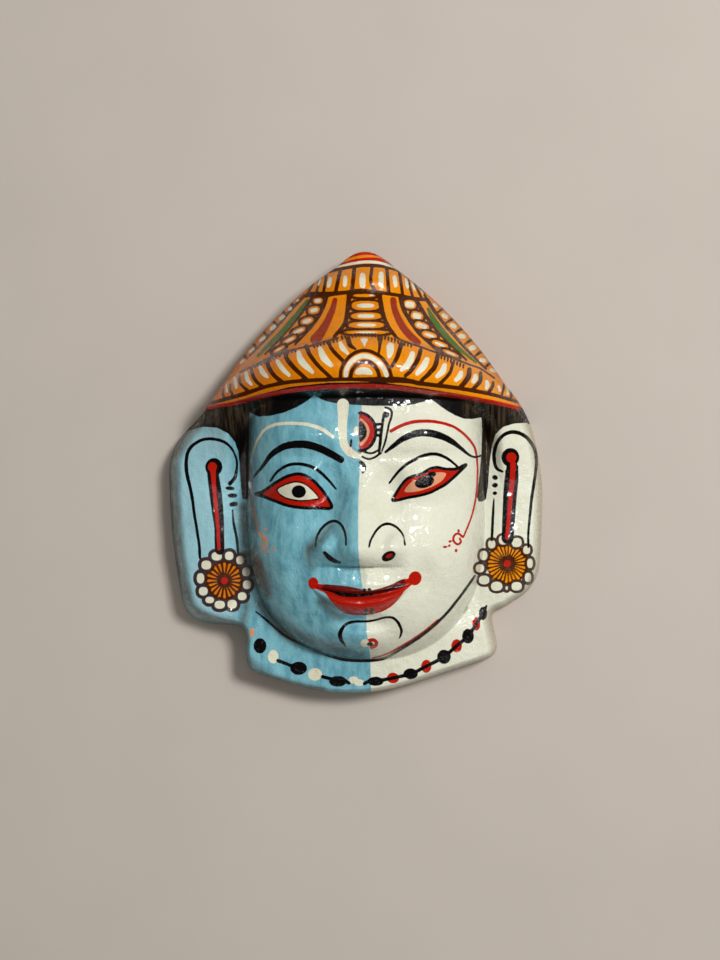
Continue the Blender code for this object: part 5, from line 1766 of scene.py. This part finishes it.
@dataclass(frozen=True)
class BarePaper:
    """The bare back: torn paper pasted in layers, brown with glue and dust."""

    paper: Colour = (168, 150, 122)
    paper_dark: Colour = (122, 104, 80)
    chalk: Colour = (206, 198, 182)

    def build(self) -> bpy.types.Material:
        """Patches of paper of slightly different browns, with torn edges and a dry, rough surface."""
        kit = NodeKit("bare_paper")
        drift = kit.add("ShaderNodeTexNoise", None, {"Vector": kit.place, "Scale": 60.0}, "Color")
        warp = kit.add("ShaderNodeVectorMath", {"operation": "ADD"}, {0: kit.place, 1: drift})
        scraps = {"Vector": warp, "Scale": 34.0}
        tone = kit.add("ShaderNodeTexVoronoi", {"feature": "F1"}, scraps, "Color")
        grey = kit.add("ShaderNodeRGBToBW", None, {"Color": tone})
        edge = kit.add("ShaderNodeTexVoronoi", {"feature": "DISTANCE_TO_EDGE"}, scraps, "Distance")
        fibre = kit.noise(900.0, 4.0, 0.65)
        colour = kit.mix(linear(*self.paper), linear(*self.paper_dark), kit.ramp(grey, 0.2, 0.8))
        colour = kit.mix(colour, linear(*self.paper_dark), kit.ramp(edge, 0.05, 0.0, 0.0, 0.6))
        bloom = kit.ramp(kit.noise(55.0, 5.0, 0.6), 0.58, 0.72, 0.0, 0.6)
        colour = kit.mix(colour, linear(*self.chalk), bloom)
        height = 0.5 * kit.ramp(edge, 0.0, 0.06) + 0.5 * fibre + 0.3 * grey
        kit.wire_up(Base_Color=colour, Roughness=0.88, Normal=kit.bump(height, 0.0005))
        return kit.material


@dataclass(frozen=True)
class PaleFloor:
    """A plain pale floor."""

    tone: Colour = (187, 179, 171)
    half_size: float = 3.0
    depth: float = 0.0002

    def build(self) -> bpy.types.Object:
        """One flat square just under the rim, with a faint grain."""
        kit = NodeKit("pale_floor")
        grain = kit.noise(14.0, 3.0)
        colour = kit.mix(linear(*self.tone), linear(*(part - 8 for part in self.tone)), grain)
        kit.wire_up(Base_Color=colour, Roughness=0.85)
        mesh = bpy.data.meshes.new("floor")
        size, z = self.half_size, -self.depth
        corners = [(-size, -size, z), (size, -size, z), (size, size, z), (-size, size, z)]
        mesh.from_pydata(corners, [], [(0, 1, 2, 3)])
        mesh.materials.append(kit.material)
        floor = bpy.data.objects.new("floor", mesh)
        bpy.context.scene.collection.objects.link(floor)
        return floor


@dataclass(frozen=True)
class AreaLamp:
    """A square soft light that faces the mask."""

    name: str
    place: tuple[float, float, float]
    size: float
    power: float
    colour: tuple[float, float, float] = (1.0, 1.0, 1.0)
    lights: bool = True
    mirrored: bool = True

    def build(self) -> None:
        """Adds the light, turned to the middle of the face."""
        data = bpy.data.lights.new(self.name, "AREA")
        data.size = self.size
        data.energy = self.power
        data.color = self.colour
        lamp = bpy.data.objects.new(self.name, data)
        place = Vector(self.place)
        turn = (Vector((0.0, 0.0, 0.03)) - place).to_track_quat("-Z", "Y").to_matrix().to_4x4()
        lamp.matrix_world = Matrix.Translation(place) @ turn
        lamp.visible_diffuse = self.lights
        lamp.visible_glossy = self.mirrored
        bpy.context.scene.collection.objects.link(lamp)


@dataclass(frozen=True)
class Studio:
    """The light: a soft key from the upper right, lamps that only glint in the lacquer, and a weak fill."""

    key: AreaLamp = AreaLamp("key_light", (0.60, 0.34, 1.24), 0.26, 17.2, (1.0, 0.985, 0.955), mirrored=False)
    glints: tuple[AreaLamp, ...] = (
        AreaLamp("glint_over_hat", (0.16, 0.49, 1.24), 0.16, 8.0, lights=False),
        AreaLamp("glint_over_band", (0.75, 0.44, 1.27), 0.22, 14.0, lights=False),
        AreaLamp("glint_over_ears", (0.02, 0.02, 1.23), 0.11, 3.0, lights=False),
    )
    fill_strength: float = 0.33
    fill_colour: tuple[float, float, float, float] = (1.0, 0.95, 0.88, 1.0)

    def build(self) -> None:
        """Adds the lights and the even fill."""
        self.key.build()
        for glint in self.glints:
            glint.build()
        world = bpy.data.worlds.new("studio_fill")
        bpy.context.scene.world = world
        world.use_nodes = True
        background = world.node_tree.nodes["Background"]
        background.inputs["Color"].default_value = self.fill_colour
        background.inputs["Strength"].default_value = self.fill_strength
        world.cycles_visibility.glossy = False
        bpy.context.scene.view_settings.view_transform = "Standard"


@dataclass(frozen=True)
class SheetGrid:
    """A square grid bent over the outline: rings of the square become rings round the centre.

    A grid place with ring share t and turn s goes to centre + t' times (outline(s) - centre), where t' is
    t plus a little, less the same little times t to a high power, so the rings crowd towards the rim.
    """

    half: int
    centre: Point = (0.0, -0.0130)
    crowding: float = 0.13
    crowding_power: float = 7.0

    @property
    def side(self) -> int:
        """How many places the grid has along a side."""
        return 2 * self.half + 1

    def border(self) -> Array:
        """The grid indices along the square's border, in order of turn."""
        side = self.side
        grid = np.arange(side * side).reshape(side, side)
        return np.concatenate([grid[0, :-1], grid[:-1, -1], grid[-1, :0:-1], grid[:0:-1, 0]])

    def places(self, loop: Array) -> Array:
        """Where the grid's places lie on the plane.

        Args:
            loop: A closed outline as eight times half points, starting at the grid's first corner.

        Returns:
            Rows of X and Y, the grid's rows one after the other.
        """
        half = self.half
        u, v = np.meshgrid(np.arange(-half, half + 1), np.arange(-half, half + 1))
        u, v = u.ravel().astype(float), v.ravel().astype(float)
        t = np.maximum(np.abs(u), np.abs(v))
        safe = np.maximum(t, 1e-9)
        a, b = u / safe, v / safe
        turn = np.where(b <= -1.0, a + 1.0, np.where(a >= 1.0, b + 3.0, np.where(b >= 1.0, 5.0 - a, 7.0 - b)))
        turn = np.mod(turn, 8.0) / 8.0 * len(loop)
        index = np.arange(len(loop) + 1)
        closed = np.vstack([loop, loop[:1]])
        edge = np.stack([np.interp(turn, index, closed[:, k]) for k in range(2)], axis=1)
        share = t / half
        share = (1.0 + self.crowding) * share - self.crowding * share**self.crowding_power
        centre = np.array(self.centre)
        return centre + share[:, None] * (edge - centre)

    def faces(self) -> Array:
        """The grid's faces."""
        return quads(np.arange(self.side**2).reshape(self.side, self.side))


@dataclass(frozen=True)
class Sheet:
    """A bent square grid in space, with the paint that lies on it: rows from its foot up to its top."""

    points: Array
    layers: dict[str, Array]

    @property
    def normals(self) -> Array:
        """The outward direction at each place: the sum of its faces' crossed diagonals."""
        grid = self.points
        crossed = np.cross(grid[1:, 1:] - grid[:-1, :-1], grid[1:, :-1] - grid[:-1, 1:])
        total = np.zeros(grid.shape)
        first, last = slice(0, -1), slice(1, None)
        for rows, columns in ((first, first), (first, last), (last, first), (last, last)):
            total[rows, columns] += crossed
        return total / np.linalg.norm(total, axis=2, keepdims=True)

    def panel(self, name: str, rows: slice, columns: slice, material: bpy.types.Material) -> bpy.types.Object:
        """Makes one panel of the sheet, with the whole sheet's normals so that panels join without a seam.

        Args:
            name: The piece's name.
            rows: The rows of the grid that the panel takes.
            columns: Its columns.
            material: Its finish.

        Returns:
            The panel's object.
        """
        points = self.points[rows, columns]
        height, width = points.shape[:2]
        faces = quads(np.arange(height * width).reshape(height, width))
        mesh = bpy.data.meshes.new(name)
        mesh.from_pydata(points.reshape(-1, 3).tolist(), [], faces.tolist())
        mesh.materials.append(material)
        mesh.shade_smooth()
        mesh.normals_split_custom_set_from_vertices(self.normals[rows, columns].reshape(-1, 3).tolist())
        for layer, values in self.layers.items():
            data = mesh.attributes.new(layer, "FLOAT", "POINT").data
            data.foreach_set("value", np.ascontiguousarray(values[rows, columns], dtype=np.float32).ravel())
        return bpy.data.objects.new(name, mesh)


@dataclass
class MaskShell:
    """The mask's shell: four painted panels of the front, and the bare back with the flat rim."""

    form: MaskForm = field(default_factory=MaskForm)
    paint: MaskPaint = field(default_factory=MaskPaint)
    view: PictureView = field(default_factory=PictureView)
    front_half: int = 204
    back_half: int = 68

    def loops(self) -> tuple[Array, Array]:
        """The outline for the front and the inner edge of the rim for the back, counter-clockwise.

        Both start where a line from the centre at 225 degrees meets the outline.
        """
        dense = spaced(self.form.outline.evened, 8 * self.front_half * 2)[::-1]
        toward = dense - np.array(SheetGrid(1).centre)
        start = int(np.argmin(np.abs(np.arctan2(toward[:, 1], toward[:, 0]) + 0.75 * np.pi)))
        loop = spaced(np.roll(dense, -start, axis=0), 8 * self.front_half)
        along = np.roll(loop, -3, axis=0) - np.roll(loop, 3, axis=0)
        along /= np.linalg.norm(along, axis=1, keepdims=True)
        inner = loop + self.form.rim_width * np.stack([-along[:, 1], along[:, 0]], axis=1)
        return loop, inner[:: self.front_half // self.back_half]

    def front(self, loop: Array) -> Sheet:
        """The painted front: its form with the hand's unevenness, and the depth of each layer of paint."""
        form = self.form
        grid = SheetGrid(self.front_half)
        flat = grid.places(loop)
        depth = form.outline.depth_inside(*flat.T, form.fine_step)
        height = form.front(*flat.T, form.fine_step)
        height = height + form.handmade(*flat.T) * smooth_step(0.0, 0.004, depth)
        height[grid.border()] = 0.0
        points = np.column_stack([flat - form.outline.middle, np.clip(height, 0.0, None)])
        px, py = self.view.pixels(points)
        cover = self.paint.lay_on(px, py, self.view.millimetres_per_pixel)
        layers = {pigment.value: values for pigment, values in cover.items()} | {RIM_DEPTH: 1000.0 * depth}
        side = grid.side
        sheets = {name: values.reshape(side, side) for name, values in layers.items()}
        return Sheet(points.reshape(side, side, 3), sheets)

    def back(self, loop: Array, inner: Array) -> bpy.types.Object:
        """The bare hollow back and the flat rim round it, as one piece."""
        form = self.form
        grid = SheetGrid(self.back_half)
        flat = grid.places(inner)
        height = form.back(*flat.T)
        height[grid.border()] = 0.0
        middle = form.outline.middle
        rim = np.column_stack([loop - middle, np.zeros(len(loop))])
        points = np.vstack([np.column_stack([flat - middle, height]), rim])
        share = self.front_half // self.back_half
        inside = grid.border()
        inside_next = np.roll(inside, -1)
        outside = np.arange(len(loop)) + len(flat)
        outside_next = np.roll(outside, -1)
        turn_at = share // 2
        faces = [np.stack([outside[turn_at::share], inside, inside_next], axis=1)]
        for step in range(share):
            nearest = inside if step < turn_at else inside_next
            faces.append(np.stack([outside[step::share], nearest, outside_next[step::share]], axis=1))
        mesh = bpy.data.meshes.new("bare_back")
        mesh.from_pydata(points.tolist(), [], grid.faces()[:, ::-1].tolist() + np.vstack(faces).tolist())
        mesh.materials.append(BarePaper().build())
        mesh.shade_smooth()
        mesh.set_sharp_from_angle(angle=np.radians(60.0))
        return bpy.data.objects.new("bare_back", mesh)

    def build(self) -> list[bpy.types.Object]:
        """Makes all panels and the back, and puts them in place of the CAD shell.

        Returns:
            The finished pieces.
        """
        loop, inner = self.loops()
        front = self.front(loop)
        lacquer = LacquerPaint().build()
        low, high = slice(0, self.front_half + 1), slice(self.front_half, None)
        panels = (
            ("painted_lower_left", low, low),
            ("painted_lower_right", low, high),
            ("painted_upper_left", high, low),
            ("painted_upper_right", high, high),
        )
        pieces = [front.panel(name, rows, columns, lacquer) for name, rows, columns in panels]
        pieces.append(self.back(loop, inner))
        for piece in pieces:
            bpy.context.scene.collection.objects.link(piece)
            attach(piece, BODY)
            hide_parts(CAD_NODE)
            log.info("%s: %d triangles", piece.name, len(piece.data.loops) - 2 * len(piece.data.polygons))
        return pieces


def main() -> None:
    """Builds the mask, the floor, the light and the camera."""
    logging.basicConfig(level=logging.INFO, format="%(name)s: %(message)s")
    shell = MaskShell()
    shell.view.build()
    shell.build()
    PaleFloor().build()
    Studio().build()


if __name__ == "__main__":
    main()
